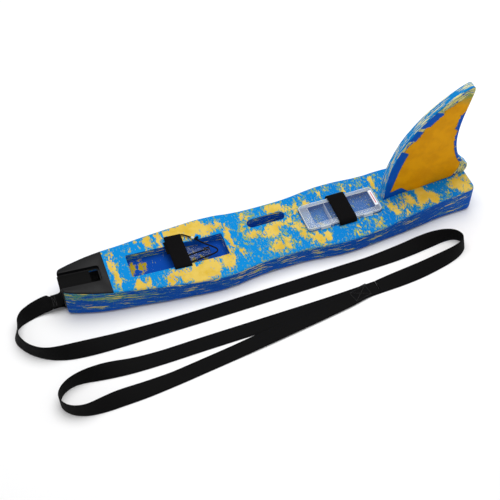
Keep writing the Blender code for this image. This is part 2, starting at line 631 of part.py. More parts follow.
def make_box_base():
    outer = rounded_outline(BOX_X, (-BOX_HALF, BOX_HALF), 0.008)
    base = prism("box_base", outer, level(BOX_FLOOR_Z), level(BOX_RIM_Z), "clear")
    tab = rounded_outline((BOX_X[0] - 0.0095, BOX_X[0] + 0.001), (0.0015, 0.0125), 0.003)
    low, high = BOX_DECK + 0.0008, BOX_DECK + 0.0026
    combine(base, prism("end_tab", tab, level(low), level(high)), "UNION")
    for x in KNUCKLE_X:
        place = x - KNUCKLE_LENGTH / 2 - 0.0003
        span = (place - KNUCKLE_LENGTH / 2, place + KNUCKLE_LENGTH / 2)
        arm = box("arm", span, (BOX_HALF - 0.001, HINGE_Y), (BOX_DECK + 0.0010, HINGE_Z - 0.0018))
        combine(base, arm, "UNION")
        combine(base, knuckle(place, KNUCKLE_LENGTH), "UNION")
        bore = x_cylinder("bore", (x, HINGE_Y, HINGE_Z), PIN_RADIUS + PIN_CLEARANCE, 0.03)
        combine(base, bore)
    inner = rounded_outline((BOX_X[0] + BOX_WALL, BOX_X[1] - BOX_WALL),
                            (-BOX_HALF + BOX_WALL, BOX_HALF - BOX_WALL), 0.0064)
    combine(base, prism("hollow", inner, level(BOX_FLOOR_Z + BOX_WALL), level(0.2)))
    return base


def make_box_lid():
    outer = rounded_outline((BOX_X[0] - 0.0014, BOX_X[1] + 0.0014), (-LID_HALF, LID_HALF), 0.0092)
    low = BOX_RIM_Z + GAP
    lid = prism("box_lid", outer, level(low), level(LID_TOP_Z - 0.0008), "clear")
    panel = rounded_outline((BOX_X[0] + 0.018, BOX_X[1] - 0.011), (-0.0265, 0.0275), 0.004)
    combine(lid, prism("panel", panel, level(low + 0.001), level(LID_TOP_Z)), "UNION")
    inner = rounded_outline((BOX_X[0] + 0.0010, BOX_X[1] - 0.0010),
                            (-BOX_HALF + 0.0008, BOX_HALF - 0.0008), 0.0068)
    combine(lid, prism("lid_hollow", inner, level(0.0), level(LID_TOP_Z - 0.0024)))
    for x in KNUCKLE_X:
        place = x + KNUCKLE_LENGTH / 2 + 0.0003
        span = (place - KNUCKLE_LENGTH / 2, place + KNUCKLE_LENGTH / 2)
        arm = box("arm", span, (LID_HALF - 0.001, HINGE_Y), (HINGE_Z - 0.0012, HINGE_Z + 0.0018))
        combine(lid, arm, "UNION")
        combine(lid, knuckle(place, KNUCKLE_LENGTH), "UNION")
        bore = x_cylinder("bore", (x, HINGE_Y, HINGE_Z), PIN_RADIUS + PIN_CLEARANCE, 0.03)
        combine(lid, bore)
    hinge_at(lid, ((BOX_X[0] + BOX_X[1]) / 2, HINGE_Y, HINGE_Z))
    return lid


def make_box_fittings():
    for side, x in zip(("left", "right"), KNUCKLE_X):
        x_cylinder("box_hinge_pin_" + side, (x, HINGE_Y, HINGE_Z), PIN_RADIUS, 0.0185, "steel")
    for side, x in zip(("left", "right"), LATCH_X):
        hinge_at(make_latch("box_latch_" + side, x),
                 (x, -LID_HALF - GAP, BOX_DECK + LATCH_TOP))
    z = (BOX_FLOOR_Z + BOX_WALL + GAP, BOX_RIM_Z - 0.0010)
    inner = BOX_HALF - BOX_WALL - GAP
    box("box_divider", (0.1490, 0.1502), (-inner, inner), z, "clear")
    foot = LID_TOP_Z - 0.0008 + GAP
    label = rounded_outline((BOX_X[1] - 0.0100, BOX_X[1] - 0.0020), (-0.0215, 0.0265), 0.001)
    sticker = prism("box_label", label, level(foot), level(foot + 0.00025), "label")
    hinge_at(sticker, ((BOX_X[0] + BOX_X[1]) / 2, HINGE_Y, HINGE_Z))


def make_latch(name, x):
    """Snap tab that hangs from the lid's near edge and hooks under the base's rim."""
    edge = -LID_HALF - GAP
    z = BOX_DECK
    profile = [(edge, LATCH_TOP), (edge - 0.0016, LATCH_TOP), (edge - 0.0018, 0.0030),
               (edge - 0.0032, 0.0012), (edge - 0.0028, 0.0006), (edge - 0.0004, 0.0006),
               (edge, 0.0020)]
    half = LATCH_WIDTH / 2
    rings = [[(px, py, z + pz) for py, pz in profile] for px in (x - half, x + half)]
    return loft(name, rings, "clear")


# ---- Contents of the recess ---------------------------------------------------------------
def make_pouch():
    """Flat soft pouch that lies in the recess under the strap, narrower at its tail end."""
    stretch = [(-0.2400, 0.0120, 0.0060), (-0.2340, 0.0235, 0.0110), (-0.2150, 0.0265, 0.0150),
               (-0.1950, 0.0255, 0.0150), (-0.1750, 0.0215, 0.0120), (-0.1580, 0.0160, 0.0085),
               (-0.1470, 0.0100, 0.0050)]
    rings = []
    for x, half, height in stretch:
        floor = recess_floor()(x) + 0.0008
        ring = []
        for k in range(12):
            angle = 2 * math.pi * k / 12
            lobe = math.copysign(abs(math.cos(angle))**0.6, math.cos(angle))
            rise = math.copysign(abs(math.sin(angle))**0.8, math.sin(angle))
            ring.append((x, 0.002 + half * lobe, floor + height / 2 + height / 2 * rise))
        rings.append(ring)
    return loft("pouch", rings, "clear", smooth=True)


def make_cord(name, points, finish="webbing"):
    """Round cord along a smooth curve through its route points."""
    rings = smooth_route(points, 2)
    curve = bpy.data.curves.new(name, "CURVE")
    curve.dimensions = "3D"
    curve.bevel_depth = CORD_RADIUS
    curve.bevel_resolution = 2
    curve.use_fill_caps = True
    spline = curve.splines.new("POLY")
    spline.points.add(len(rings) - 1)
    for target, point in zip(spline.points, rings):
        target.co = (*point, 1.0)
    curve.materials.append(material(finish))
    obj = bpy.data.objects.new(name, curve)
    bpy.context.scene.collection.objects.link(obj)
    return obj


def smooth_route(rows, substeps):
    """Points on the smooth curve through all rows, with extra steps between each pair."""
    rows = [tuple(row) for row in rows]
    result = []
    for i in range(len(rows) - 1):
        p0, p1 = rows[max(i - 1, 0)], rows[i]
        p2, p3 = rows[i + 1], rows[min(i + 2, len(rows) - 1)]
        for k in range(substeps):
            t = k / substeps
            result.append(tuple(
                0.5 * (2 * b + (c - a) * t + (2 * a - 5 * b + 4 * c - d) * t**2
                       + (3 * b - a - 3 * c + d) * t**3)
                for a, b, c, d in zip(p0, p1, p2, p3)))
    result.append(rows[-1])
    return result


def make_bead():
    """Cord lock: a short barrel threaded on the pouch's cord."""
    centre = Vector(BEAD_CENTRE)
    along = Vector((0.0090, -0.0076, -0.0020)).normalized()
    side = along.cross(Vector((0, 0, 1))).normalized()
    up = side.cross(along)
    hole = CORD_RADIUS + GAP
    profile = [(-0.0038, hole), (-0.0038, 0.0026), (-0.0020, BEAD_RADIUS), (0.0020, BEAD_RADIUS),
               (0.0038, 0.0026), (0.0038, hole)]
    rings = []
    for k in range(14):
        angle = 2 * math.pi * k / 14
        out = side * math.cos(angle) + up * math.sin(angle)
        rings.append([centre + along * a + out * r for a, r in profile])
    return loft("cord_lock", rings, "black_plastic", smooth=True, closed=True)


def make_clip():
    """Small hook that ends the pouch's tether."""
    x, y, z = CLIP_CENTRE
    clip = box("tether_clip", (x - 0.0080, x + 0.0060), (y - 0.0040, y + 0.0040),
               (z - 0.0016, z + 0.0016), "black_plastic")
    hole = rounded_outline((x - 0.0020, x + 0.0040), (y - 0.0022, y + 0.0022), 0.0016)
    combine(clip, prism("clip_hole", hole, level(z - 0.01), level(z + 0.01)))
    return clip


# ---- Leash --------------------------------------------------------------------------------
def leash_rings(rows):
    """Cross-sections of the webbing along its route, four points each."""
    tilts = [(x, y, z, math.asin(lean / WEB_WIDTH)) for x, y, z, lean in rows]
    path = smooth_route(tilts, LEASH_SUBSTEPS)
    rings = []
    for i, (x, y, z, tilt) in enumerate(path):
        a = path[max(i - 1, 0)]
        b = path[min(i + 1, len(path) - 1)]
        run = Vector((b[0] - a[0], b[1] - a[1], 0.0)).normalized()
        left = Vector((-run.y, run.x, 0.0))
        tilt = max(-math.pi / 2, min(math.pi / 2, tilt))
        across = (left * math.sin(tilt) + Vector((0, 0, math.cos(tilt)))) * WEB_WIDTH
        normal = run.cross(across).normalized() * (WEB_THICK / 2)
        foot = Vector((x, y, max(z, 0.0) + abs(normal.z)))
        rings.append([foot - normal, foot + across - normal, foot + across + normal,
                      foot + normal])
    return rings


def make_leash():
    loft("leash_main", leash_rings(LEASH_MAIN), "webbing")
    loft("leash_loop", leash_rings(LEASH_LOOP), "webbing")
    z = 0.0023 + WEB_THICK + GAP
    y0 = -0.2235
    slope = 0.20
    outer = stitch_outline(0.0, y0, slope)
    inner = stitch_outline(STITCH_THREAD, y0, slope)
    seam = prism("loop_stitching", outer, level(z), level(z + STITCH_HEIGHT), "thread")
    combine(seam, prism("seam_void", inner, level(z - 0.01), level(z + 0.01)))


def stitch_outline(inset, y0, slope):
    """Seam that joins the loop's end to the leash, turned to follow the webbing."""
    x = (STITCH_X[0] + inset, STITCH_X[1] - inset)
    y = (y0 + inset, y0 + 0.0260 - inset)
    outline = [(x[0], y[0]), (x[1], y[0]), (x[1], y[1]), (x[0], y[1])]
    return [(px, py + slope * (px - STITCH_X[1])) for px, py in outline]


def build():
    clear_scene()
    make_hull()
    make_nose_cover()
    make_nose_webbing()
    make_bar_tack()
    make_fin()
    make_tapes()
    make_box_base()
    make_box_lid()
    make_box_fittings()
    make_pouch()
    make_cord("pouch_cord", POUCH_CORD)
    make_cord("pouch_tether", TETHER)
    make_bead()
    make_clip()
    make_leash()


build()
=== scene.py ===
"""Looks of the towed foam float board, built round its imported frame.

All lengths are in metres, in the frame's own axes: the nose is at -X, the tail at +X, and Z is up.
The camera and the leash come first, then the foam, the nose cover, the straps, the clear box and
what is kept in the recess.
"""

import math

import bmesh
import bpy
from mathutils import Matrix, Vector, noise


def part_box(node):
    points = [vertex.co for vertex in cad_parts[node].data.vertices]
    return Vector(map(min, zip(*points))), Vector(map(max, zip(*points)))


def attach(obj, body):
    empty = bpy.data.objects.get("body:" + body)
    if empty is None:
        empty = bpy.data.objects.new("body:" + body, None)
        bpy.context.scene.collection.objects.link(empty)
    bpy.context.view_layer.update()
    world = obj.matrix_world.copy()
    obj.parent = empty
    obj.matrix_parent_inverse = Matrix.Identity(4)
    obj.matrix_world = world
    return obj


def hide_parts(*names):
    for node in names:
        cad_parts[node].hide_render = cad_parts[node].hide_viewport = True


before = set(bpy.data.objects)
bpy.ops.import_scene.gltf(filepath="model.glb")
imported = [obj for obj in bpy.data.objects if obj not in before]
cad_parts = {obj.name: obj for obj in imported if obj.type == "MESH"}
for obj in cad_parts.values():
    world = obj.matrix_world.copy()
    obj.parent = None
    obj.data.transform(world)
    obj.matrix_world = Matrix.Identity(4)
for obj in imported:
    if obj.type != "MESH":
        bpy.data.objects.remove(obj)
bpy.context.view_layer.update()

# ---- Sizes shared with the CAD ------------------------------------------------------------
HULL_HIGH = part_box("hull_foam")[1]
COVER_LOW, COVER_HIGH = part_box("nose_cover")
NOSE_X = COVER_LOW.x
TAIL_X = HULL_HIGH.x
COVER_REAR_X = COVER_HIGH.x
COVER_SKIN = 0.0033

HALF_WIDTH = [
    (-0.504, 0.0265), (-0.4995, 0.0345), (-0.487, 0.0402), (-0.466, 0.0470), (-0.434, 0.0560),
    (-0.3955, 0.0635), (-0.350, 0.0695), (-0.290, 0.0788), (-0.240, 0.0850), (-0.190, 0.0908),
    (-0.150, 0.0936), (-0.115, 0.0924), (-0.075, 0.0865), (-0.035, 0.0832), (0.010, 0.0825),
    (0.045, 0.0826), (0.080, 0.0850), (0.120, 0.0902), (0.160, 0.0936), (0.195, 0.0930),
    (0.240, 0.0892), (0.290, 0.0850), (0.340, 0.0800), (0.390, 0.0736), (0.430, 0.0695),
    (0.465, 0.0684), (0.490, 0.0680), (0.499, 0.0655), (0.504, 0.0580),
]
DECK_HEIGHT = [
    (-0.504, 0.0845), (-0.420, 0.0748), (-0.340, 0.0665), (-0.260, 0.0598), (-0.180, 0.0535),
    (-0.120, 0.0508), (-0.060, 0.0505), (0.080, 0.0505), (0.240, 0.0508), (0.275, 0.0528),
    (0.300, 0.0575), (0.340, 0.0622), (0.400, 0.0655), (0.450, 0.0690), (0.504, 0.0775),
]
EDGE_TOP, EDGE_BOTTOM, END_ROUND = 0.0060, 0.0085, 0.0110
CHANNEL_HALF, CHANNEL_DEPTH, CHANNEL_REAR_X = 0.0225, 0.0090, -0.4095
HOLE_X, HOLE_HALF = (-0.4360, -0.4125), 0.0205
RECESS_X, RECESS_HALF, RECESS_DEPTH = (-0.3440, -0.1115), 0.0325, 0.0245
SLOT_X, SLOT_Y = (-0.0450, 0.0495), (0.0230, 0.0478)
POCKET_X, POCKET_HALF, POCKET_FLOOR = (0.0835, 0.2745), 0.0388, 0.0340

FIN_HALF = 0.0100
# Ends of the two fin edges: both stand in the deck, and the rear one closes the tip.
FIN_FRONT_FOOT, FIN_REAR_FOOT, FIN_TIP_BACK = (0.287, 0.056), (0.502, 0.077), (0.481, 0.355)
FIN_LEADING = [
    (0.287, 0.072), (0.294, 0.146), (0.322, 0.223), (0.364, 0.282), (0.407, 0.3215),
    (0.449, 0.349), (0.466, 0.3575), (0.4745, 0.360), (0.480, 0.356),
]
FIN_TRAILING = [
    (0.482, 0.343), (0.477, 0.316), (0.466, 0.260), (0.4625, 0.215), (0.466, 0.177),
    (0.477, 0.142), (0.497, 0.1145), (0.506, 0.1045), (0.5085, 0.095), (0.507, 0.086),
]
# How far the fin's layered edge comes onto its faces at the front and the rear, and the length
# that the whole way up the fin stands for in its colours.
FIN_FRONT_RIM, FIN_REAR_RIM, FIN_RUN = 0.0024, 0.0010, 0.40
# Blue border of the fin, by share of the way up each edge, or along the foot: its depth, and how
# solid its blue is against the loose marbling.
LEADING_BORDER = [
    (0.0, 0.012), (0.08, 0.019), (0.20, 0.025), (0.36, 0.026), (0.385, 0.024), (0.40, 0.010),
    (0.46, 0.013), (0.50, 0.019), (0.58, 0.017), (0.60, 0.014), (0.62, 0.022), (0.72, 0.022),
    (0.745, 0.014), (0.82, 0.019), (0.90, 0.018), (1.0, 0.020),
]
TRAILING_BORDER = [
    (0.0, 0.030), (0.05, 0.028), (0.10, 0.017), (0.16, 0.009), (0.30, 0.007), (0.52, 0.008),
    (0.56, 0.005), (0.59, 0.012), (0.72, 0.011), (0.76, 0.002), (1.0, -0.004),
]
FOOT_BORDER = [
    (0.0, 0.018), (0.12, 0.018), (0.20, 0.021), (0.27, 0.008), (0.32, -0.002), (0.76, -0.003),
    (0.88, 0.006), (1.0, 0.018),
]
LEADING_SOLID = [
    (0.0, 1.0), (0.39, 1.0), (0.41, 0.25), (0.48, 0.30), (0.50, 0.75), (0.56, 0.70), (0.59, 0.25),
    (0.61, 1.0), (0.72, 1.0), (0.74, 0.20), (0.86, 0.35), (1.0, 0.35),
]
TRAILING_SOLID = [
    (0.0, 0.45), (0.10, 0.35), (0.20, 0.55), (0.54, 0.60), (0.58, 1.0), (0.74, 1.0), (0.80, 0.3),
    (1.0, 0.3),
]

WEB_WIDTH, WEB_THICK = 0.0370, 0.0018
NECK_END_X, NECK_Z = -0.5305, 0.0155
# Leash rows: foot x, foot y, foot z and sideways lean of the upper edge from the foot.
LEASH_MAIN = [
    (-0.5312, -0.0185, 0.0146, -0.0370), (-0.5390, -0.0185, 0.0118, -0.0345),
    (-0.5520, -0.0168, 0.0060, -0.0270), (-0.5680, -0.0175, 0.0020, -0.0230),
    (-0.5830, -0.0205, 0.0000, -0.0190), (-0.5990, -0.0255, 0.0000, -0.0120),
    (-0.6140, -0.0330, 0.0000, 0.0000), (-0.6245, -0.0440, 0.0000, 0.0110),
    (-0.6300, -0.0580, 0.0000, 0.0125), (-0.6290, -0.0740, 0.0000, 0.0100),
    (-0.6215, -0.0900, 0.0000, 0.0070), (-0.6100, -0.1060, 0.0000, 0.0050),
    (-0.5950, -0.1210, 0.0000, 0.0050), (-0.5760, -0.1350, 0.0000, 0.0080),
    (-0.5520, -0.1465, 0.0000, 0.0150), (-0.5180, -0.1562, 0.0000, 0.0260),
    (-0.4640, -0.1612, 0.0000, 0.0335), (-0.4000, -0.1622, 0.0000, 0.0365),
    (-0.3000, -0.1619, 0.0000, 0.0370), (-0.2000, -0.1614, 0.0000, 0.0370),
    (-0.1000, -0.1603, 0.0000, 0.0370), (0.0000, -0.1588, 0.0000, 0.0370),
    (0.1000, -0.1572, 0.0000, 0.0370), (0.1900, -0.1558, 0.0000, 0.0370),
    (0.2500, -0.1545, 0.0000, 0.0365), (0.3000, -0.1510, 0.0000, 0.0350),
    (0.3400, -0.1465, 0.0000, 0.0300), (0.3700, -0.1425, 0.0000, 0.0220),
    (0.3950, -0.1395, 0.0000, 0.0120), (0.4150, -0.1405, 0.0000, 0.0030),
    (0.4280, -0.1470, 0.0000, -0.0030), (0.4345, -0.1580, 0.0000, -0.0060),
    (0.4325, -0.1710, 0.0000, -0.0080), (0.4220, -0.1830, 0.0000, -0.0110),
    (0.4050, -0.1935, 0.0000, -0.0150), (0.3800, -0.2025, 0.0000, -0.0200),
    (0.3450, -0.2110, 0.0000, -0.0255), (0.3000, -0.2190, 0.0000, -0.0300),
    (0.2500, -0.2240, 0.0000, -0.0345), (0.1905, -0.2262, 0.0000, -0.0370),
]
LEASH_LOOP = [
    (0.1900, -0.2262, 0.0000, -0.0370), (0.1400, -0.2285, 0.0000, -0.0370),
    (0.0600, -0.2312, 0.0000, -0.0370), (-0.0400, -0.2326, 0.0000, -0.0370),
    (-0.1400, -0.2338, 0.0000, -0.0370), (-0.2400, -0.2350, 0.0000, -0.0370),
    (-0.3300, -0.2368, 0.0000, -0.0370), (-0.4000, -0.2362, 0.0000, -0.0366),
    (-0.4450, -0.2330, 0.0000, -0.0330), (-0.4800, -0.2285, 0.0000, -0.0240),
    (-0.5080, -0.2240, 0.0000, -0.0140), (-0.5320, -0.2232, 0.0000, -0.0060),
    (-0.5520, -0.2290, 0.0000, -0.0020), (-0.5660, -0.2400, 0.0000, 0.0000),
    (-0.5720, -0.2550, 0.0000, 0.0000), (-0.5695, -0.2705, 0.0000, 0.0010),
    (-0.5590, -0.2850, 0.0000, 0.0020), (-0.5420, -0.2965, 0.0000, 0.0050),
    (-0.5180, -0.3045, 0.0000, 0.0110), (-0.4850, -0.3078, 0.0000, 0.0220),
    (-0.4450, -0.3070, 0.0000, 0.0315), (-0.3900, -0.3045, 0.0000, 0.0360),
    (-0.3200, -0.2975, 0.0000, 0.0370), (-0.2500, -0.2888, 0.0000, 0.0370),
    (-0.1800, -0.2800, 0.0004, 0.0370), (-0.1200, -0.2722, 0.0022, 0.0370),
    (-0.0600, -0.2640, 0.0023, 0.0370), (0.0000, -0.2555, 0.0023, 0.0370),
    (0.0600, -0.2465, 0.0023, 0.0370), (0.1100, -0.2385, 0.0023, 0.0370),
    (0.1450, -0.2310, 0.0023, 0.0370), (0.1720, -0.2255, 0.0023, 0.0370),
]
CORD_RADIUS = 0.0018
LEASH_TUCK = 0.0085
TAPE_THICK = 0.0017
# Strap anchors: the slots in the hull that they stand in are this half width, with this to spare
# along them.
ANCHORS = ("recess_anchor_near", "recess_anchor_far", "box_anchor_near", "box_anchor_far")
ANCHOR_SLOT_HALF, ANCHOR_SPARE = 0.0015, 0.0006
# Pouch: its middle in y, the depth of its folds and of its creases, and the share by which it gets
# wider per metre of that depth.
POUCH_Y, FOLD_DEPTH, CREASE_DEPTH, SIDE_WRINKLE = 0.002, 0.0028, 0.0008, 2.5 * 0.1 / 0.015
POUCH_CORD = [
    (-0.2030, 0.0535, 0.0592), (-0.1935, 0.0470, 0.0590), (-0.1850, 0.0398, 0.0584),
    (-0.1760, 0.0322, 0.0570), (-0.1670, 0.0245, 0.0530), (-0.1560, 0.0160, 0.0492),
    (-0.1460, 0.0080, 0.0470), (-0.1375, 0.0000, 0.0458), (-0.1335, -0.0065, 0.0450),
    (-0.1360, -0.0118, 0.0446), (-0.1440, -0.0150, 0.0446), (-0.1560, -0.0172, 0.0452),
    (-0.1700, -0.0190, 0.0462), (-0.1850, -0.0215, 0.0478), (-0.2010, -0.0245, 0.0495),
]
TETHER = [
    (-0.2010, -0.0060, 0.0525), (-0.1920, -0.0050, 0.0520), (-0.1820, -0.0035, 0.0508),
    (-0.1720, -0.0015, 0.0490), (-0.1650, 0.0005, 0.0478),
]
# Where the cords go on out of sight under the band, before and after the rows above.
POUCH_CORD_START = [(-0.2230, 0.0485, 0.0589), (-0.2130, 0.0518, 0.0583)]
POUCH_CORD_END = [(-0.2110, -0.0235, 0.0510), (-0.2200, -0.0200, 0.0516)]
TETHER_START = [(-0.2200, -0.0060, 0.0535), (-0.2110, -0.0065, 0.0530)]

# ---- Camera -------------------------------------------------------------------------------
CAMERA_AT = (-0.5417, -1.3730, 1.8410)
CAMERA_TURN, CAMERA_TILT, CAMERA_ROLL = -19.68, 51.65, -0.47
CAMERA_LENS = 70.7
WORLD_STRENGTH, KEY_POWER, FILL_POWER = 0.40, 74.0, 5.0

# Yellow patches of the deck: centre x, y, then reach along x and y, then strength.
DECK_PATCHES = [
    (-0.376, 0.046, 0.010, 0.012, 0.8), (-0.382, 0.012, 0.006, 0.018, 1.0),
    (-0.378, -0.022, 0.004, 0.016, 0.9), (-0.374, -0.041, 0.003, 0.008, 0.8),
    (-0.334, -0.060, 0.011, 0.017, 1.4), (-0.313, -0.052, 0.006, 0.018, 1.0),
    (-0.310, 0.060, 0.004, 0.012, 1.0), (-0.284, 0.058, 0.010, 0.017, 1.3),
    (-0.330, 0.044, 0.005, 0.010, 0.8), (-0.256, 0.056, 0.007, 0.022, 1.1),
    (-0.222, 0.070, 0.018, 0.012, 1.2), (-0.186, 0.068, 0.030, 0.022, 1.5),
    (-0.146, 0.050, 0.012, 0.020, 1.2), (-0.125, 0.054, 0.020, 0.016, 0.9),
    (-0.262, -0.066, 0.012, 0.020, 1.3), (-0.250, -0.050, 0.016, 0.008, 0.9),
    (-0.226, -0.062, 0.014, 0.020, 1.2), (-0.196, -0.066, 0.026, 0.026, 1.6),
    (-0.164, -0.056, 0.022, 0.026, 1.5), (-0.119, -0.050, 0.016, 0.024, 1.2),
    (-0.112, -0.020, 0.008, 0.012, 1.0), (-0.099, 0.012, 0.005, 0.026, 1.1),
    (-0.092, 0.040, 0.008, 0.016, 0.8), (-0.042, 0.060, 0.012, 0.016, 1.0),
    (0.030, 0.062, 0.020, 0.013, 1.4), (0.050, 0.050, 0.012, 0.010, 0.9),
    (-0.040, 0.004, 0.018, 0.011, 1.1), (0.000, -0.006, 0.022, 0.020, 1.0),
    (0.026, 0.008, 0.022, 0.012, 1.1), (0.002, -0.044, 0.014, 0.026, 1.1),
    (0.028, -0.040, 0.014, 0.026, 1.0), (-0.078, -0.036, 0.009, 0.008, 0.9),
    (0.068, -0.037, 0.009, 0.013, 1.2), (0.071, -0.014, 0.012, 0.018, 0.9),
    (0.102, -0.060, 0.007, 0.022, 1.3), (0.124, -0.068, 0.008, 0.013, 1.3),
    (0.084, -0.058, 0.008, 0.018, 0.8), (0.110, 0.049, 0.006, 0.012, 1.0),
    (0.080, 0.044, 0.010, 0.016, 0.7), (0.170, 0.078, 0.010, 0.010, 0.7),
    (0.234, 0.066, 0.006, 0.014, 0.7), (0.208, 0.068, 0.010, 0.014, 0.7),
    (0.286, 0.050, 0.005, 0.022, 1.0), (0.274, 0.020, 0.006, 0.014, 0.8),
    (0.236, -0.056, 0.020, 0.026, 0.5), (0.214, -0.066, 0.014, 0.020, 0.5),
    (0.296, -0.030, 0.004, 0.018, 0.9), (0.304, -0.052, 0.006, 0.012, 0.9),
    (0.327, -0.046, 0.010, 0.026, 0.9), (0.346, -0.032, 0.012, 0.018, 0.8),
    (0.378, -0.034, 0.014, 0.024, 1.5), (0.398, -0.050, 0.014, 0.018, 1.5),
    (0.476, -0.030, 0.020, 0.022, 1.3), (0.490, -0.040, 0.014, 0.028, 1.2),
    (0.480, 0.040, 0.020, 0.030, 0.9), (0.400, 0.050, 0.020, 0.020, 1.0),
]
FLOOR_PATCHES = [
    (-0.336, 0.004, 0.010, 0.026, 1.6), (-0.314, 0.010, 0.014, 0.018, 1.4),
    (-0.196, 0.012, 0.016, 0.010, 1.1), (-0.168, -0.010, 0.010, 0.012, 1.3),
    (-0.176, -0.022, 0.008, 0.006, 1.0), (-0.192, -0.006, 0.006, 0.012, 1.5),
]
# Streaks on the sides, as depth below the deck edge, half height and strength.
SIDE_LINES = [
    (0.0040, 0.0050, 0.80), (0.0110, 0.0040, 0.60), (0.0190, 0.0040, 0.90), (0.0250, 0.0030, 1.30),
    (0.0360, 0.0030, 0.45), (0.0520, 0.0034, 0.80),
]


# ---- Mesh helpers -------------------------------------------------------------------------
def curve_at(table, x):
    """Value at x of the smooth curve through the (x, value) rows of a table."""
    last = len(table) - 1
    if x <= table[0][0]:
        return table[0][1]
    if x >= table[last][0]:
        return table[last][1]
    i = next(k for k in range(last) if x <= table[k + 1][0])
    (x0, y0), (x1, y1) = table[i], table[i + 1]

    def slope(k):
        if k == 0 or k == last:
            a, b = max(k - 1, 0), min(k + 1, last)
            return (table[b][1] - table[a][1]) / (table[b][0] - table[a][0])
        before = (table[k][1] - table[k - 1][1]) / (table[k][0] - table[k - 1][0])
        after = (table[k + 1][1] - table[k][1]) / (table[k + 1][0] - table[k][0])
        return 0.0 if before * after <= 0 else 2 * before * after / (before + after)

    span = x1 - x0
    t = (x - x0) / span
    m0, m1 = slope(i) * span, slope(i + 1) * span
    return ((2 * t**3 - 3 * t**2 + 1) * y0 + (t**3 - 2 * t**2 + t) * m0
            + (3 * t**2 - 2 * t**3) * y1 + (t**3 - t**2) * m1)


def deck(x):
    return curve_at(DECK_HEIGHT, x)


def deck_line(x0, x1, rise):
    start, end = deck(x0) + rise, deck(x1) + rise
    return lambda x: start + (end - start) * (x - x0) / (x1 - x0)


def smooth_route(rows, substeps):
    """Points on the smooth curve through all rows, with extra steps between each pair."""
    result = []
    for i in range(len(rows) - 1):
        p0, p1 = rows[max(i - 1, 0)], rows[i]
        p2, p3 = rows[i + 1], rows[min(i + 2, len(rows) - 1)]
        for k in range(substeps):
            t = k / substeps
            result.append(tuple(
                0.5 * (2 * b + (c - a) * t + (2 * a - 5 * b + 4 * c - d) * t**2
                       + (3 * b - a - 3 * c + d) * t**3)
                for a, b, c, d in zip(p0, p1, p2, p3)))
    result.append(tuple(rows[-1]))
    return result


def new_object(name, mesh, finish=None, sharp=35):
    obj = bpy.data.objects.new(name, mesh)
    bpy.context.scene.collection.objects.link(obj)
    if finish:
        mesh.materials.clear()
        mesh.materials.append(finish)
    if sharp:
        mesh.shade_smooth()
        mesh.set_sharp_from_angle(angle=math.radians(sharp))
    return obj


def skin(name, rings, finish=None, uvs=None, closed=False, sharp=35):
    """Skin equal rings of points, cap both ends, and write each ring's UVs when given."""
    size = len(rings[0])
    verts = [tuple(p) for ring in rings for p in ring]
    faces = []
    for i in range(len(rings) if closed else len(rings) - 1):
        a, b = i * size, ((i + 1) % len(rings)) * size
        faces += [(a + k, a + (k + 1) % size, b + (k + 1) % size, b + k) for k in range(size)]
    if not closed:
        faces.append(tuple(range(size)))
        faces.append(tuple(range(len(verts) - size, len(verts))))
    mesh = bpy.data.meshes.new(name)
    mesh.from_pydata(verts, [], faces)
    if uvs:
        layer = mesh.uv_layers.new(name="weave")
        flat = [uv for ring in uvs for uv in ring]
        for loop in mesh.loops:
            layer.data[loop.index].uv = flat[loop.vertex_index]
    bm = bmesh.new()
    bm.from_mesh(mesh)
    bmesh.ops.recalc_face_normals(bm, faces=bm.faces)
    bm.to_mesh(mesh)
    bm.free()
    return new_object(name, mesh, finish, sharp)


def cut(obj, tool):
    """Cut one closed tool out of obj, then drop the tool."""
    modifier = obj.modifiers.new("cut", "BOOLEAN")
    modifier.object = tool
    graph = bpy.context.evaluated_depsgraph_get()
    obj.data = bpy.data.meshes.new_from_object(obj.evaluated_get(graph))
    obj.modifiers.clear()
    bpy.data.objects.remove(tool, do_unlink=True)


def rounded_outline(x, y, radius, steps=5, spacing=0.012):
    """Plan rectangle with round corners and points along its long sides."""
    corners = [(x[1] - radius, y[1] - radius, 0), (x[0] + radius, y[1] - radius, 90),
               (x[0] + radius, y[0] + radius, 180), (x[1] - radius, y[0] + radius, 270)]
    points = []
    for n, (cx, cy, start) in enumerate(corners):
        arc = [(cx + radius * math.cos(math.radians(start + 90 * k / steps)),
                cy + radius * math.sin(math.radians(start + 90 * k / steps)))
               for k in range(steps + 1)]
        points += arc
        nx, ny, turn = corners[(n + 1) % 4]
        goal = (nx + radius * math.cos(math.radians(turn)),
                ny + radius * math.sin(math.radians(turn)))
        count = int(math.dist(arc[-1], goal) / spacing)
        points += [(arc[-1][0] + (goal[0] - arc[-1][0]) * k / (count + 1),
                    arc[-1][1] + (goal[1] - arc[-1][1]) * k / (count + 1))
                   for k in range(1, count + 1)]
    return points


def well(x, y, radius, floor, mouth, lip=0.0012, fillet=0.0015):
    """Tool that cuts a well with a rounded mouth and a small radius round its floor."""
    levels = [(-fillet, lambda px: floor(px)), (-0.3 * fillet, lambda px: floor(px) + 0.3 * fillet),
              (0.0, lambda px: floor(px) + fillet), (0.0, lambda px: mouth(px) - lip),
              (0.3 * lip, lambda px: mouth(px) - 0.3 * lip), (lip, lambda px: mouth(px)),
              (2.2 * lip, lambda px: mouth(px) + 0.4 * lip), (2.2 * lip, lambda px: mouth(px) + 0.03)]
    rings = []
    for grow, height in levels:
        outline = rounded_outline((x[0] - grow, x[1] + grow), (y[0] - grow, y[1] + grow),
                                  max(radius + grow, 0.0005))
        rings.append([(px, py, height(px)) for px, py in outline])
    return skin("well", rings, sharp=None)


def settle(piece, slot, body, *nodes):
    """Say which body carries a piece and the CAD nodes that it stands for, which are hidden; slot is
    not used.
    """
    if nodes:
        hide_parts(*nodes)
    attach(piece, body)


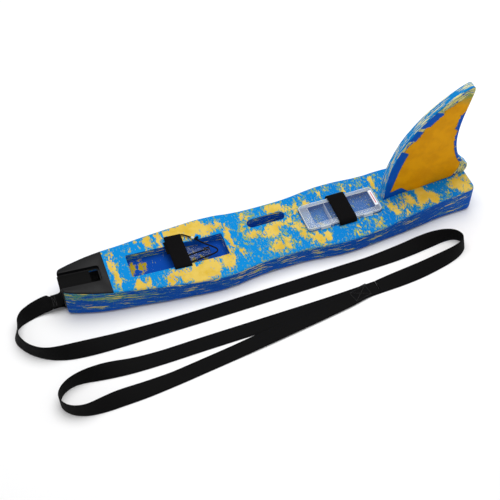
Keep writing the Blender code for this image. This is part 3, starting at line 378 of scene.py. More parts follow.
def dress(node, finish, bevel=0.0006, segments=2, name=None):
    """Piece with the CAD node's shape, its sharp edges rounded, that stands for that node."""
    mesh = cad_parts[node].data.copy()
    bm = bmesh.new()
    bm.from_mesh(mesh)
    bmesh.ops.remove_doubles(bm, verts=bm.verts, dist=1e-6)
    bmesh.ops.dissolve_limit(bm, angle_limit=math.radians(1.0), verts=bm.verts, edges=bm.edges)
    sharp = [e for e in bm.edges if e.is_manifold and e.calc_face_angle(0.0) > math.radians(32)]
    if bevel:
        bmesh.ops.bevel(bm, geom=sharp, offset=bevel, segments=segments, profile=0.5,
                        affect="EDGES", clamp_overlap=True)
    bm.to_mesh(mesh)
    bm.free()
    obj = new_object(name or node + "_look", mesh, finish, 40)
    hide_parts(node)
    return obj


# ---- Shader helpers -----------------------------------------------------------------------
def srgb(red, green, blue):
    """Linear colour for an ordinary 0 to 255 screen colour."""
    def linear(value):
        share = value / 255
        return share / 12.92 if share <= 0.04045 else ((share + 0.055) / 1.055)**2.4
    return (linear(red), linear(green), linear(blue), 1.0)


class Shade:
    """Short names for building one material's nodes."""

    def __init__(self, name, **values):
        self.material = bpy.data.materials.new(name)
        self.material.use_nodes = True
        self.tree = self.material.node_tree
        self.shader = self.tree.nodes["Principled BSDF"]
        for key, value in values.items():
            self.shader.inputs[key.replace("_", " ")].default_value = value

    def add(self, kind, inputs, output=0, **settings):
        made = self.tree.nodes.new(kind)
        for key, value in settings.items():
            setattr(made, key, value)
        for key, value in inputs.items():
            if isinstance(value, bpy.types.NodeSocket):
                self.tree.links.new(value, made.inputs[key])
            else:
                made.inputs[key].default_value = value
        return made.outputs[output]

    def place(self):
        return self.add("ShaderNodeTexCoord", {}, "Object")

    def uv(self):
        return self.add("ShaderNodeUVMap", {}, uv_map="weave")

    def attribute(self, name):
        return self.add("ShaderNodeAttribute", {}, "Fac", attribute_name=name)

    def scaled(self, vector, scale):
        return self.add("ShaderNodeVectorMath", {0: vector, 1: scale}, operation="MULTIPLY")

    def part(self, vector, axis):
        return self.add("ShaderNodeSeparateXYZ", {0: vector}, axis)

    def noise(self, vector, scale, detail=4.0, rough=0.55, twist=0.0):
        return self.add("ShaderNodeTexNoise", {"Vector": vector, "Scale": scale, "Detail": detail,
                                               "Roughness": rough, "Distortion": twist})

    def math(self, operation, a, b=0.0, c=0.0):
        return self.add("ShaderNodeMath", {0: a, 1: b, 2: c}, operation=operation)

    def ramp(self, value, low, high, start=0.0, end=1.0):
        return self.add("ShaderNodeMapRange", {"Value": value, "From Min": low, "From Max": high,
                                               "To Min": start, "To Max": end},
                        interpolation_type="SMOOTHSTEP")

    def mix(self, factor, a, b):
        return self.add("ShaderNodeMix", {0: factor, 6: a, 7: b}, 2, data_type="RGBA")

    def bump(self, height, strength, distance):
        normal = self.add("ShaderNodeBump", {"Height": height, "Strength": strength,
                                             "Distance": distance})
        self.tree.links.new(normal, self.shader.inputs["Normal"])

    def link(self, value, name):
        self.tree.links.new(value, self.shader.inputs[name])

    def finished(self, colour, *bump):
        """The material, once it has its colour and its bump."""
        self.link(colour, "Base Color")
        self.bump(*bump)
        return self.material


# ---- Materials ----------------------------------------------------------------------------
DECK_BLUE = srgb(0, 130, 202)
DECK_DEEP = srgb(0, 114, 192)
# Painted shade: the side blues are deeper than the deck blues, for the shade that falls on the
# board's sides.
SIDE_SHADE_BLUE = srgb(0, 84, 184)
SIDE_SHADE_DEEP = srgb(0, 70, 164)
# Painted shade: a deeper blue and a darker yellow for the floors of the wells, for the shade down in
# the recess and the pocket.
WELL_SHADE_BLUE = srgb(0, 66, 158)
WELL_SHADE_YELLOW = srgb(160, 138, 16)
YELLOW = srgb(216, 186, 88)
YELLOW_DEEP = srgb(206, 170, 54)
SIDE_YELLOW = srgb(246, 216, 96)
TEAL = srgb(40, 140, 130)
OLIVE = srgb(134, 160, 84)
CREAM = srgb(224, 212, 140)
MOSS = srgb(62, 74, 20)
OCHRE = srgb(238, 166, 2)
OCHRE_DEEP = srgb(224, 152, 0)
FIN_BLUE = srgb(2, 88, 196)
AZURE = srgb(24, 150, 224)
FIN_TEAL = srgb(12, 124, 180)


def placed(shade, place, spots):
    """How strongly each point lies in one of the placed spots: x, y, reaches and strength."""
    total = None
    for x, y, reach_x, reach_y, strength in spots:
        shift = shade.add("ShaderNodeVectorMath", {0: place, 1: (-x, -y, 0.0)}, operation="ADD")
        share = shade.scaled(shift, (1 / reach_x, 1 / reach_y, 0.0))
        reach = shade.add("ShaderNodeVectorMath", {0: share}, "Value", operation="LENGTH")
        here = shade.ramp(reach, 0.30, 1.80, strength, 0.0)
        total = here if total is None else shade.math("MAXIMUM", total, here)
    return total


def pushed(shade, place, scale, stretch, amount):
    """The place coordinates pushed about by a noise, which tears straight outlines."""
    swirl = shade.add("ShaderNodeTexNoise", {"Vector": shade.scaled(place, stretch),
                                             "Scale": scale, "Detail": 4.0, "Roughness": 0.65},
                      "Color")
    shift = shade.add("ShaderNodeVectorMath", {0: swirl, 1: (-0.5, -0.5, -0.5)}, operation="ADD")
    return shade.add("ShaderNodeVectorMath", {0: shade.scaled(shift, (amount,) * 3), 1: place},
                     operation="ADD")


def foam_bump(shade, place, strength=0.35):
    pores = shade.noise(place, 1400, 3, 0.6)
    dimples = shade.noise(place, 160, 2, 0.5)
    shade.bump(shade.math("MULTIPLY_ADD", dimples, 0.6, pores), strength, 0.0006)


def side_streaks(shade, place):
    """Level of the long thin streaks on the sides: higher on a few wavy lines below the edge."""
    wave = shade.noise(shade.scaled(place, (1.0, 1.0, 0.0)), 24, 4, 0.6)
    below = shade.attribute("below")
    depth = shade.math("MULTIPLY_ADD", shade.math("SUBTRACT", wave, 0.5), 0.014, below)
    across = shade.add("ShaderNodeCombineXYZ", {0: shade.part(place, 0), 1: shade.part(place, 1),
                                                2: shade.math("MULTIPLY", depth, 8.0)})
    level = shade.noise(shade.scaled(across, (0.55, 0.55, 1.0)), 46, 5, 0.64)
    patchy = shade.ramp(shade.noise(shade.scaled(place, (1.0, 1.0, 2.0)), 20, 3, 0.6), 0.40, 0.62)
    total = None
    for height, reach, strength in SIDE_LINES:
        off = shade.math("ABSOLUTE", shade.math("SUBTRACT", depth, height))
        here = shade.ramp(off, 0.0, reach, strength, 0.0)
        total = here if total is None else shade.math("MAXIMUM", total, here)
    return shade.math("MULTIPLY_ADD", shade.math("MULTIPLY", total, patchy), 0.150, level)


def marbled_foam():
    """Blue foam sheets marbled with yellow: torn patches on the deck, thin streaks on the sides;
    painted shade deepens the colours on the sides and on the floors of the wells.
    """
    shade = Shade("marbled_foam", Roughness=0.66, Specular_IOR_Level=0.07)
    place = shade.place()
    below = shade.attribute("below")
    normal = shade.add("ShaderNodeNewGeometry", {}, "Normal")
    up = shade.ramp(shade.math("ABSOLUTE", shade.part(normal, 2)), 0.30, 0.75)
    torn = pushed(shade, place, 58, (1.0, 0.6, 0.0), 0.026)
    torn = pushed(shade, torn, 200, (1.0, 0.5, 0.0), 0.009)
    broad = shade.noise(shade.scaled(torn, (1.0, 0.5, 4.0)), 44, 8, 0.68)
    fine = shade.noise(shade.scaled(place, (1.0, 0.5, 4.0)), 230, 4, 0.65)
    crumbs = shade.math("SUBTRACT", fine, 0.5)
    on_deck = shade.math("MULTIPLY", placed(shade, torn, DECK_PATCHES),
                         shade.ramp(below, 0.010, 0.016, 1.0, 0.0))
    in_well = shade.math("MULTIPLY", placed(shade, torn, FLOOR_PATCHES),
                         shade.ramp(below, 0.016, 0.022))
    spots = shade.math("MAXIMUM", on_deck, in_well)
    # How far down into a well a point lies: it thins the marbling there and lays painted shade on the
    # well floors.
    sunk = shade.ramp(below, 0.016, 0.022)
    calm = shade.math("MULTIPLY_ADD", sunk, -0.085, broad)
    level = shade.math("MULTIPLY_ADD", spots, 0.20, calm)
    deck_yellow = shade.ramp(shade.math("MULTIPLY_ADD", crumbs, 0.40, level), 0.632, 0.646)
    greener = shade.ramp(shade.part(place, 0), -0.22, 0.02, 0.000, 0.026)
    teal_level = shade.math("ADD", shade.math("MULTIPLY_ADD", crumbs, 0.85, level), greener)
    teal_level = shade.math("MULTIPLY_ADD", sunk, -0.06, teal_level)
    deck_teal = shade.ramp(teal_level, 0.592, 0.612)
    side_level = side_streaks(shade, place)
    side_yellow = shade.ramp(side_level, 0.650, 0.660)
    nose = shade.math("MULTIPLY", shade.ramp(shade.part(place, 0), -0.42, -0.24, 0.095, 0.0),
                      shade.ramp(below, 0.022, 0.040, 1.0, 0.0))
    side_green = shade.math("ADD", shade.math("MULTIPLY_ADD", crumbs, 0.3, side_level), nose)
    side_teal = shade.ramp(side_green, 0.585, 0.625)
    yellow_mask = shade.add("ShaderNodeMix", {0: up, 2: side_yellow, 3: deck_yellow})
    teal_mask = shade.add("ShaderNodeMix", {0: up, 2: side_teal, 3: deck_teal})
    cloud = shade.noise(place, 26, 4, 0.6)
    towards_tail = shade.ramp(shade.part(place, 0), -0.10, 0.30, 0.0, 0.90)
    top_blue = shade.mix(towards_tail, DECK_BLUE, DECK_DEEP)
    # Painted shade: the floors of the wells turn a deeper blue.
    top_blue = shade.mix(sunk, top_blue, WELL_SHADE_BLUE)
    # Painted shade on the sides: faces that do not look up take the deeper side blues.
    blue = shade.mix(up, shade.mix(shade.ramp(side_level, 0.34, 0.50), SIDE_SHADE_DEEP, SIDE_SHADE_BLUE),
                     top_blue)
    green = shade.mix(shade.ramp(fine, 0.46, 0.58), TEAL, OLIVE)
    yellow = shade.mix(shade.ramp(cloud, 0.36, 0.66), YELLOW, YELLOW_DEEP)
    # Painted shade: the yellow on the floors of the wells turns darker.
    yellow = shade.mix(up, SIDE_YELLOW, shade.mix(sunk, yellow, WELL_SHADE_YELLOW))
    colour = shade.mix(teal_mask, blue, green)
    colour = shade.mix(yellow_mask, colour, yellow)
    chips = shade.noise(shade.scaled(place, (1.0, 0.5, 2.0)), 460, 2, 0.6)
    flecks = shade.ramp(chips, 0.715, 0.750, 0.0, 0.7)
    colour = shade.mix(flecks, colour, CREAM)
    shade.link(colour, "Base Color")
    foam_bump(shade, place)
    return shade.material


def fin_foam():
    """Ochre fin faces inside a broken blue border, with azure and cream layers on the edge."""
    shade = Shade("fin_foam", Roughness=0.64, Specular_IOR_Level=0.07)
    place = shade.place()
    border, rim, run = (shade.attribute(n) for n in ("border", "rim", "run"))
    front = shade.attribute("front")
    ragged = shade.noise(place, 110, 6, 0.70, 0.4)
    off = shade.math("SUBTRACT", ragged, 0.5)
    smooth_part = shade.ramp(run, 0.13, 0.16)
    rough = shade.math("MULTIPLY", off, shade.math("MULTIPLY_ADD", smooth_part, 0.016, 0.003))
    level = shade.math("ADD", rough, border)
    band = shade.ramp(level, -0.0003, 0.0005)
    flow = shade.add("ShaderNodeCombineXYZ", {0: shade.math("MULTIPLY", run, 60.0),
                                              1: shade.math("MULTIPLY", front, 260.0),
                                              2: shade.math("MULTIPLY", shade.part(place, 1), 60.0)})
    mixed = shade.noise(flow, 1.0, 6, 0.72, 0.6)
    mottle = shade.noise(place, 30, 5, 0.6)
    ochre = shade.mix(shade.ramp(mottle, 0.35, 0.65), OCHRE, OCHRE_DEEP)
    # The fin's blue border mottles into the deeper side blue, which is painted shade on these upright
    # faces.
    blue = shade.mix(shade.ramp(mottle, 0.35, 0.65), FIN_BLUE, SIDE_SHADE_BLUE)
    solid = shade.math("ADD", shade.attribute("solid"), shade.math("MULTIPLY", off, 0.8))
    loose = shade.mix(shade.ramp(mixed, 0.42, 0.44), FIN_BLUE, OLIVE)
    loose = shade.mix(shade.ramp(mixed, 0.48, 0.50), loose, CREAM)
    edging = shade.mix(shade.ramp(solid, 0.46, 0.54), loose, blue)
    tip = shade.math("MULTIPLY", shade.ramp(run, 0.320, 0.370), shade.ramp(mixed, 0.42, 0.48))
    lip = shade.math("MULTIPLY", shade.ramp(level, -0.0014, -0.0006),
                     shade.math("MULTIPLY", shade.math("SUBTRACT", 1.0, band), 0.8))
    face = shade.mix(lip, shade.mix(tip, ochre, OLIVE), MOSS)
    face = shade.mix(band, face, edging)
    across = shade.part(place, 1)
    layers = shade.add("ShaderNodeCombineXYZ", {0: shade.math("MULTIPLY", run, 22.0),
                                                1: shade.math("MULTIPLY", across, 320.0),
                                                2: shade.math("MULTIPLY", front, 120.0)})
    streak = shade.noise(layers, 1.0, 5, 0.66, 0.3)
    edge = shade.mix(shade.ramp(run, 0.10, 0.30), AZURE, FIN_TEAL)
    edge = shade.mix(shade.ramp(streak, 0.43, 0.46), DECK_DEEP, edge)
    edge = shade.mix(shade.ramp(streak, 0.545, 0.565), edge, CREAM)
    rim_level = shade.math("MULTIPLY_ADD", off, 0.004, rim)
    shade.link(shade.mix(shade.ramp(rim_level, -0.0003, 0.0003), face, edge), "Base Color")
    foam_bump(shade, place, 0.25)
    return shade.material


def moulded_black(name, roughness, colour=(8, 8, 10)):
    """Black moulding with a fine spark-eroded grain and a slight wear of its gloss."""
    shade = Shade(name, Specular_IOR_Level=0.20)
    place = shade.place()
    grain = shade.noise(place, 1800, 2, 0.5)
    wear = shade.noise(place, 38, 5, 0.65)
    shade.link(shade.ramp(wear, 0.3, 0.7, roughness - 0.06, roughness + 0.08), "Roughness")
    return shade.finished(shade.mix(wear, srgb(*colour), srgb(*[c + 7 for c in colour])),
                          grain, 0.12, 0.0003)


def woven_webbing():
    """Black webbing: fine ribs along its length crossed by a twill of short floats."""
    shade = Shade("woven_webbing", Roughness=0.82, Specular_IOR_Level=0.12)
    uv = shade.uv()
    along, across = shade.part(uv, 0), shade.part(uv, 1)
    slant = shade.math("ADD", shade.math("MULTIPLY", along, 1900.0),
                       shade.math("MULTIPLY", shade.math("ABSOLUTE", across), 2600.0))
    twill = shade.math("SINE", slant)
    ribs = shade.math("SINE", shade.math("MULTIPLY", across, 5200.0))
    weave = shade.math("MULTIPLY", twill, shade.math("MULTIPLY_ADD", ribs, 0.25, 0.75))
    fluff = shade.noise(shade.place(), 900, 3, 0.6)
    height = shade.math("MULTIPLY_ADD", fluff, 0.5, weave)
    tone = shade.ramp(height, -0.8, 1.2)
    return shade.finished(shade.mix(tone, srgb(2, 2, 2), srgb(8, 8, 9)), height, 0.5, 0.0003)


def loop_tape():
    """Black hook and loop tape: a fuzzy pile with a plain woven edge."""
    shade = Shade("loop_tape", Roughness=0.95, Specular_IOR_Level=0.10, Sheen_Weight=0.02)
    uv = shade.uv()
    place = shade.place()
    edge = shade.ramp(shade.math("ABSOLUTE", shade.part(uv, 1)), 0.0185, 0.0192)
    pile = shade.noise(place, 700, 5, 0.75, 0.8)
    tufts = shade.add("ShaderNodeTexVoronoi", {"Vector": place, "Scale": 620.0}, "Distance")
    height = shade.math("ADD", pile, shade.math("MULTIPLY", tufts, 0.7))
    tone = shade.ramp(pile, 0.35, 0.70)
    colour = shade.mix(tone, srgb(3, 2, 3), srgb(12, 11, 12))
    return shade.finished(shade.mix(edge, colour, srgb(4, 4, 5)), height, 0.55, 0.0005)


def scuffed(shade, place, roughness):
    """Roughen a plastic along its scuffs, and return how strong they are at each point."""
    scuffs = shade.noise(shade.scaled(place, (1.0, 3.0, 1.0)), 90, 5, 0.7)
    shade.link(shade.ramp(scuffs, 0.45, 0.75, roughness, roughness + 0.22), "Roughness")
    return scuffs


def clear_plastic(name, alpha, tint=(214, 226, 240), roughness=0.09, coat=0.3):
    """Clear moulded plastic with faint flow lines and scuffs."""
    shade = Shade(name, Alpha=alpha, IOR=1.49, Coat_Weight=coat, Coat_Roughness=0.05)
    place = shade.place()
    scuffs = scuffed(shade, place, roughness)
    return shade.finished(shade.mix(scuffs, srgb(*tint), srgb(*[min(c + 14, 255) for c in tint])),
                          shade.noise(place, 40, 1, 0.4), 0.03, 0.0004)


def lid_plastic(rim, middle, half_x, half_y):
    """Clear plastic that turns milky outside the raised panel of the lid."""
    shade = Shade("lid_plastic", IOR=1.49, Coat_Weight=0.3, Coat_Roughness=0.05)
    place = shade.place()
    scuffed(shade, place, 0.09)
    outside = None
    for axis, centre, half in ((0, middle[0], half_x), (1, middle[1], half_y)):
        off = shade.math("ABSOLUTE", shade.math("SUBTRACT", shade.part(place, axis), centre))
        here = shade.ramp(off, half - 0.0006, half + 0.0006)
        outside = here if outside is None else shade.math("MAXIMUM", outside, here)
    shade.link(shade.math("MULTIPLY_ADD", outside, rim, 0.10), "Alpha")
    return shade.finished(shade.mix(outside, srgb(120, 146, 206), srgb(206, 216, 232)),
                          shade.noise(place, 40, 1, 0.4), 0.03, 0.0004)


def printed_label():
    """White sticker with one plain red rule and a faint paper grain."""
    shade = Shade("plain_label", Roughness=0.42)
    place = shade.place()
    low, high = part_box("box_label")
    middle = (low.x + high.x) / 2
    off = shade.math("ABSOLUTE", shade.math("SUBTRACT", shade.part(place, 0), middle))
    rule = shade.math("SUBTRACT", 1.0, shade.ramp(off, 0.0010, 0.0013))
    ends = shade.ramp(shade.part(place, 1), low.y + 0.006, low.y + 0.0065)
    tops = shade.ramp(shade.part(place, 1), high.y - 0.0065, high.y - 0.006, 1.0, 0.0)
    mask = shade.math("MULTIPLY", rule, shade.math("MULTIPLY", ends, tops))
    paper = shade.mix(shade.noise(place, 600, 2, 0.5), srgb(236, 238, 244), srgb(222, 226, 236))
    return shade.finished(shade.mix(mask, paper, srgb(214, 84, 72)),
                          shade.noise(place, 1500, 2, 0.5), 0.05, 0.0002)


def brushed_wire():
    shade = Shade("bright_wire", Metallic=1.0)
    place = shade.place()
    lines = shade.noise(shade.scaled(place, (1.0, 30.0, 30.0)), 120, 3, 0.6)
    shade.link(shade.ramp(lines, 0.3, 0.7, 0.22, 0.42), "Roughness")
    return shade.finished(shade.mix(lines, srgb(190, 192, 196), srgb(160, 163, 168)),
                          lines, 0.1, 0.0002)


def sewing_thread():
    shade = Shade("sewing_thread", Roughness=0.6, Sheen_Weight=0.3)
    place = shade.place()
    ply = shade.noise(shade.scaled(place, (1.0, 1.0, 3.0)), 1500, 2, 0.5)
    return shade.finished(shade.mix(ply, srgb(10, 10, 11), srgb(22, 22, 24)), ply, 0.3, 0.0003)


def braided_cord():
    shade = Shade("braided_cord", Roughness=0.7, Specular_IOR_Level=0.15)
    place = shade.place()
    braid = shade.add("ShaderNodeTexVoronoi", {"Vector": place, "Scale": 900.0}, "Distance")
    return shade.finished(shade.mix(braid, srgb(3, 3, 4), srgb(12, 12, 14)), braid, 0.5, 0.0005)


# ---- Straps and cords ---------------------------------------------------------------------
def ribbon(name, centres, acrosses, width, thick, finish):
    """Flat strap with rounded edges along centres, its width along each across direction."""
    soft = thick / width
    shape = [(-1.0, 0.0), (-1.0 + soft, 0.86), (-0.55, 1.0), (0.0, 1.0), (0.55, 1.0),
             (1.0 - soft, 0.86), (1.0, 0.0), (1.0 - soft, -0.86), (0.55, -1.0), (0.0, -1.0),
             (-0.55, -1.0), (-1.0 + soft, -0.86)]
    rings, uvs, along = [], [], 0.0
    for i, centre in enumerate(centres):
        a, b = centres[max(i - 1, 0)], centres[min(i + 1, len(centres) - 1)]
        along += (centre - centres[i - 1]).length if i else 0.0
        across = acrosses[i].normalized()
        run = (b - a).normalized()
        across = (across - run * across.dot(run)).normalized()
        normal = run.cross(across)
        rings.append([centre + across * (u * width / 2) + normal * (v * thick / 2)
                      for u, v in shape])
        uvs.append([(along, u * width / 2) for u, v in shape])
    return skin(name, rings, finish, uvs, sharp=50)


def leash_route(rows, substeps=8):
    """Centre line and across directions of the leash over its route rows."""
    tilts = [(x, y, z, math.asin(lean / WEB_WIDTH)) for x, y, z, lean in rows]
    path = smooth_route(tilts, substeps)
    centres, acrosses = [], []
    for i, (x, y, z, tilt) in enumerate(path):
        a, b = path[max(i - 1, 0)], path[min(i + 1, len(path) - 1)]
        run = Vector((b[0] - a[0], b[1] - a[1], 0.0)).normalized()
        left = Vector((-run.y, run.x, 0.0))
        tilt = max(-math.pi / 2, min(math.pi / 2, tilt))
        across = left * math.sin(tilt) + Vector((0, 0, math.cos(tilt)))
        lift = WEB_THICK / 2 * abs(math.sin(tilt))
        foot = Vector((x, y, max(z, 0.0) + lift))
        centres.append(foot + across * (WEB_WIDTH / 2))
        acrosses.append(across)
    return centres, acrosses


def length_of(points):
    return sum((b - a).length for a, b in zip(points, points[1:]))


def leash_run(name, node, rows, webbing, tuck=0.0, **extra):
    """One run of the leash as a flat strap; a tuck lengthens its start towards the board."""
    centres, acrosses = leash_route(rows)
    if tuck:
        centres.insert(0, centres[0] + Vector((tuck, 0.0, 0.0)))
        acrosses.insert(0, acrosses[0])
    run = ribbon(name, centres, acrosses, WEB_WIDTH, WEB_THICK, webbing)
    settle(run, "webbing", "board", node)


def make_leash(webbing, thread):
    """The whole leash as two runs of strap, with the seam that closes its loop."""
    seam = stitched_box("loop_seam", (0.143, -0.2125), 11.3, (0.042, 0.027), 0.0047, thread)
    settle(seam, "thread", "board", "loop_stitching")
    leash_run("leash_long_run", "leash_main", LEASH_MAIN, webbing, LEASH_TUCK)
    leash_run("leash_lower_loop", "leash_loop", LEASH_LOOP, webbing, with_pieces=[seam])


def stitches(name, points, height, finish, pitch=0.0032, radius=0.00035):
    """A row of short raised stitches along a line of (x, y) points at one height."""
    spans = []
    for a, b in zip(points, points[1:]):
        a, b = Vector((*a, height)), Vector((*b, height))
        count = max(int((b - a).length / pitch), 1)
        step = (b - a) / count
        for k in range(count):
            spans.append((a + step * (k + 0.12), a + step * (k + 0.88)))
    bm = bmesh.new()
    for start, end in spans:
        run = (end - start).normalized()
        side = run.cross(Vector((0, 0, 1))).normalized()
        loops = []
        for share, size in ((0.0, 0.3), (0.15, 0.85), (0.5, 1.0), (0.85, 0.85), (1.0, 0.3)):
            centre = start.lerp(end, share)
            loops.append([bm.verts.new(centre + side * (radius * size * math.cos(t * math.pi / 3))
                                       + Vector((0, 0, radius * size * math.sin(t * math.pi / 3))))
                          for t in range(6)])
        for p, q in zip(loops, loops[1:]):
            for t in range(6):
                bm.faces.new((p[t], p[(t + 1) % 6], q[(t + 1) % 6], q[t]))
        bm.faces.new(loops[0])
        bm.faces.new(loops[-1])
    bmesh.ops.recalc_face_normals(bm, faces=bm.faces)
    mesh = bpy.data.meshes.new(name)
    bm.to_mesh(mesh)
    bm.free()
    return new_object(name, mesh, finish, 50)


def stitched_box(name, centre, turn, size, height, thread):
    """Box seam with a cross in it, turned by turn degrees."""
    c, s = math.cos(math.radians(turn)), math.sin(math.radians(turn))

    def at(u, v):
        x, y = u * size[0] / 2, v * size[1] / 2
        return (centre[0] + x * c - y * s, centre[1] + x * s + y * c)

    line = [at(-1, -1), at(1, -1), at(1, 1), at(-1, 1), at(-1, -1), at(1, 1)]
    cross = [at(-1, 1), at(1, -1)]
    first = stitches(name, line, height, thread)
    second = stitches(name + "_cross", cross, height, thread)
    with bpy.context.temp_override(active_object=first, selected_editable_objects=[first, second]):
        bpy.ops.object.join()
    return first


# ---- Hull, nose and fin -------------------------------------------------------------------
def board_ring(x, columns=18, corner=5, rows=5):
    """One closed cross-section of the board at x, with points along its flat stretches."""
    half = curve_at(HALF_WIDTH, x)
    inside = min(x - NOSE_X, TAIL_X - x)
    low = 0.0
    if inside < END_ROUND:
        low = END_ROUND - math.sqrt(END_ROUND**2 - (END_ROUND - inside)**2)
    high = deck(x)
    top = EDGE_TOP * 0.6
    if inside < top:
        high -= top - math.sqrt(top**2 - (top - inside)**2)
    corners = [(half, high, EDGE_TOP, 0, columns), (-half, high, EDGE_TOP, 90, rows),
               (-half, low, EDGE_BOTTOM, 180, columns), (half, low, EDGE_BOTTOM, 270, rows)]
    ring = []
    for n, (cy, cz, radius, start, steps) in enumerate(corners):
        my = cy - math.copysign(radius, cy)
        mz = cz - radius if cz == high else cz + radius
        for k in range(corner + 1):
            angle = math.radians(start + 90 * k / corner)
            ring.append(Vector((x, my + radius * math.cos(angle), mz + radius * math.sin(angle))))
        ny, nz, nradius, nstart, _ = corners[(n + 1) % 4]
        goal_y = ny - math.copysign(nradius, ny) + nradius * math.cos(math.radians(nstart))
        goal_z = (nz - nradius if nz == high else nz + nradius)
        goal_z += nradius * math.sin(math.radians(nstart))
        last, goal = ring[-1], Vector((x, goal_y, goal_z))
        ring += [last.lerp(goal, k / steps) for k in range(1, steps)]
    return ring


def board_solid(name):
    ends = [0.0, 0.0012, 0.0030, 0.0055, 0.0085, 0.0120, 0.0170, 0.0230]
    count = 120
    inner = [NOSE_X + ends[-1] + (TAIL_X - NOSE_X - 2 * ends[-1]) * k / count
             for k in range(1, count)]
    stations = [NOSE_X + e for e in ends] + inner + [TAIL_X - e for e in reversed(ends)]
    return skin(name, [board_ring(x) for x in stations], sharp=None)


def nose_space():
    """Tool that makes room for the nose cover: its deck plate and its front plate."""
    xs = [NOSE_X + COVER_SKIN + (COVER_REAR_X + 0.0003 - NOSE_X - COVER_SKIN) * k / 8
          for k in range(9)]
    profile = [(x, deck(x) - COVER_SKIN) for x in xs]
    profile += [(xs[-1], 0.2), (NOSE_X - 0.02, 0.2), (NOSE_X - 0.02, -0.02), (xs[0], -0.02)]
    return skin("nose_space", [[(x, y, z) for x, z in profile] for y in (-0.12, 0.12)], sharp=None)


def make_hull(foam):
    hull = board_solid("foam_board")
    cut(hull, nose_space())
    liner = 0.0023
    line = deck_line(NOSE_X, CHANNEL_REAR_X, -CHANNEL_DEPTH - liner)
    cut(hull, well((NOSE_X - 0.03, CHANNEL_REAR_X + liner),
                   (-CHANNEL_HALF - liner, CHANNEL_HALF + liner), 0.006, line,
                   lambda x: line(x) + 0.05))
    through = lambda x: -0.02
    cut(hull, well(HOLE_X, (-HOLE_HALF, HOLE_HALF), 0.004, through, lambda x: 0.2))
    cut(hull, well(RECESS_X, (-RECESS_HALF, RECESS_HALF), 0.004,
                   deck_line(*RECESS_X, -RECESS_DEPTH), deck))
    cut(hull, well(SLOT_X, SLOT_Y, 0.0122, through, deck))
    cut(hull, well(POCKET_X, (-POCKET_HALF, POCKET_HALF), 0.009, lambda x: POCKET_FLOOR, deck))
    for name in ANCHORS:
        low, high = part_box(name)
        middle = (low.y + high.y) / 2
        cut(hull, well((low.x - ANCHOR_SPARE, high.x + ANCHOR_SPARE),
                       (middle - ANCHOR_SLOT_HALF, middle + ANCHOR_SLOT_HALF),
                       0.0012, lambda x, z=low.z: z, deck, 0.0005, 0.0002))
    hull.data.materials.clear()
    hull.data.materials.append(foam)
    hull.data.shade_smooth()
    hull.data.set_sharp_from_angle(angle=math.radians(35))
    layer = hull.data.attributes.new("below", "FLOAT", "POINT")
    layer.data.foreach_set("value", [deck(v.co.x) - v.co.z for v in hull.data.vertices])
    settle(hull, "foam", "board", "hull_foam")


def make_cover(black):
    cover = dress("nose_cover", black, 0.0009, 3)
    settle(cover, "cover", "board")


def make_hole_shade(black):
    """Painted shade: a thin black sheet round the inside of the strap's hole through the nose, below
    a rim of bare foam, for the shade down in the hole.
    """
    x, y = (HOLE_X[0] + 0.0002, HOLE_X[1] - 0.0002), (-HOLE_HALF + 0.0002, HOLE_HALF - 0.0002)
    outer = rounded_outline(x, y, 0.0039, 6, 0.03)
    inner = rounded_outline((x[0] + 0.0002, x[1] - 0.0002), (y[0] + 0.0002, y[1] - 0.0002),
                            0.0037, 6, 0.03)
    top = deck(HOLE_X[1]) - CHANNEL_DEPTH - 0.0060
    rings = [[(px, py, z) for px, py in line] for line, z in
             ((outer, 0.0010), (outer, top), (inner, top), (inner, 0.0010))]
    shade_sheet = skin("hole_shade_sheet", [[r[i] for r in rings] for i in range(len(outer))], black,
                  closed=True, sharp=40)
    settle(shade_sheet, "cover", "board")


def even_points(rows, count):
    """count points at equal spacing along the smooth line through rows."""
    path = [Vector(p) for p in smooth_route(rows, 10)]
    total = length_of(path)
    points, travelled, k = [], 0.0, 0
    for i in range(count):
        goal = total * i / (count - 1)
        while k < len(path) - 2 and travelled + (path[k + 1] - path[k]).length < goal:
            travelled += (path[k + 1] - path[k]).length
            k += 1
        step = (path[k + 1] - path[k]).length
        points.append(path[k].lerp(path[k + 1], min((goal - travelled) / step, 1.0)))
    return points


def fin_marks(point, leading, trailing, share):
    """Depth into the border, its solidness and the gap to the front edge at a fin point."""
    front = min((point - p).length for p in leading)
    back = min((point - p).length for p in trailing)
    along = (point.x - leading[0].x) / (trailing[0].x - leading[0].x)
    depths = [(curve_at(LEADING_BORDER, share) - front, curve_at(LEADING_SOLID, share)),
              (curve_at(TRAILING_BORDER, share) - back, curve_at(TRAILING_SOLID, share)),
              (curve_at(FOOT_BORDER, along) - (point.y - deck(point.x)), 1.0)]
    return max(depths) + (front,)


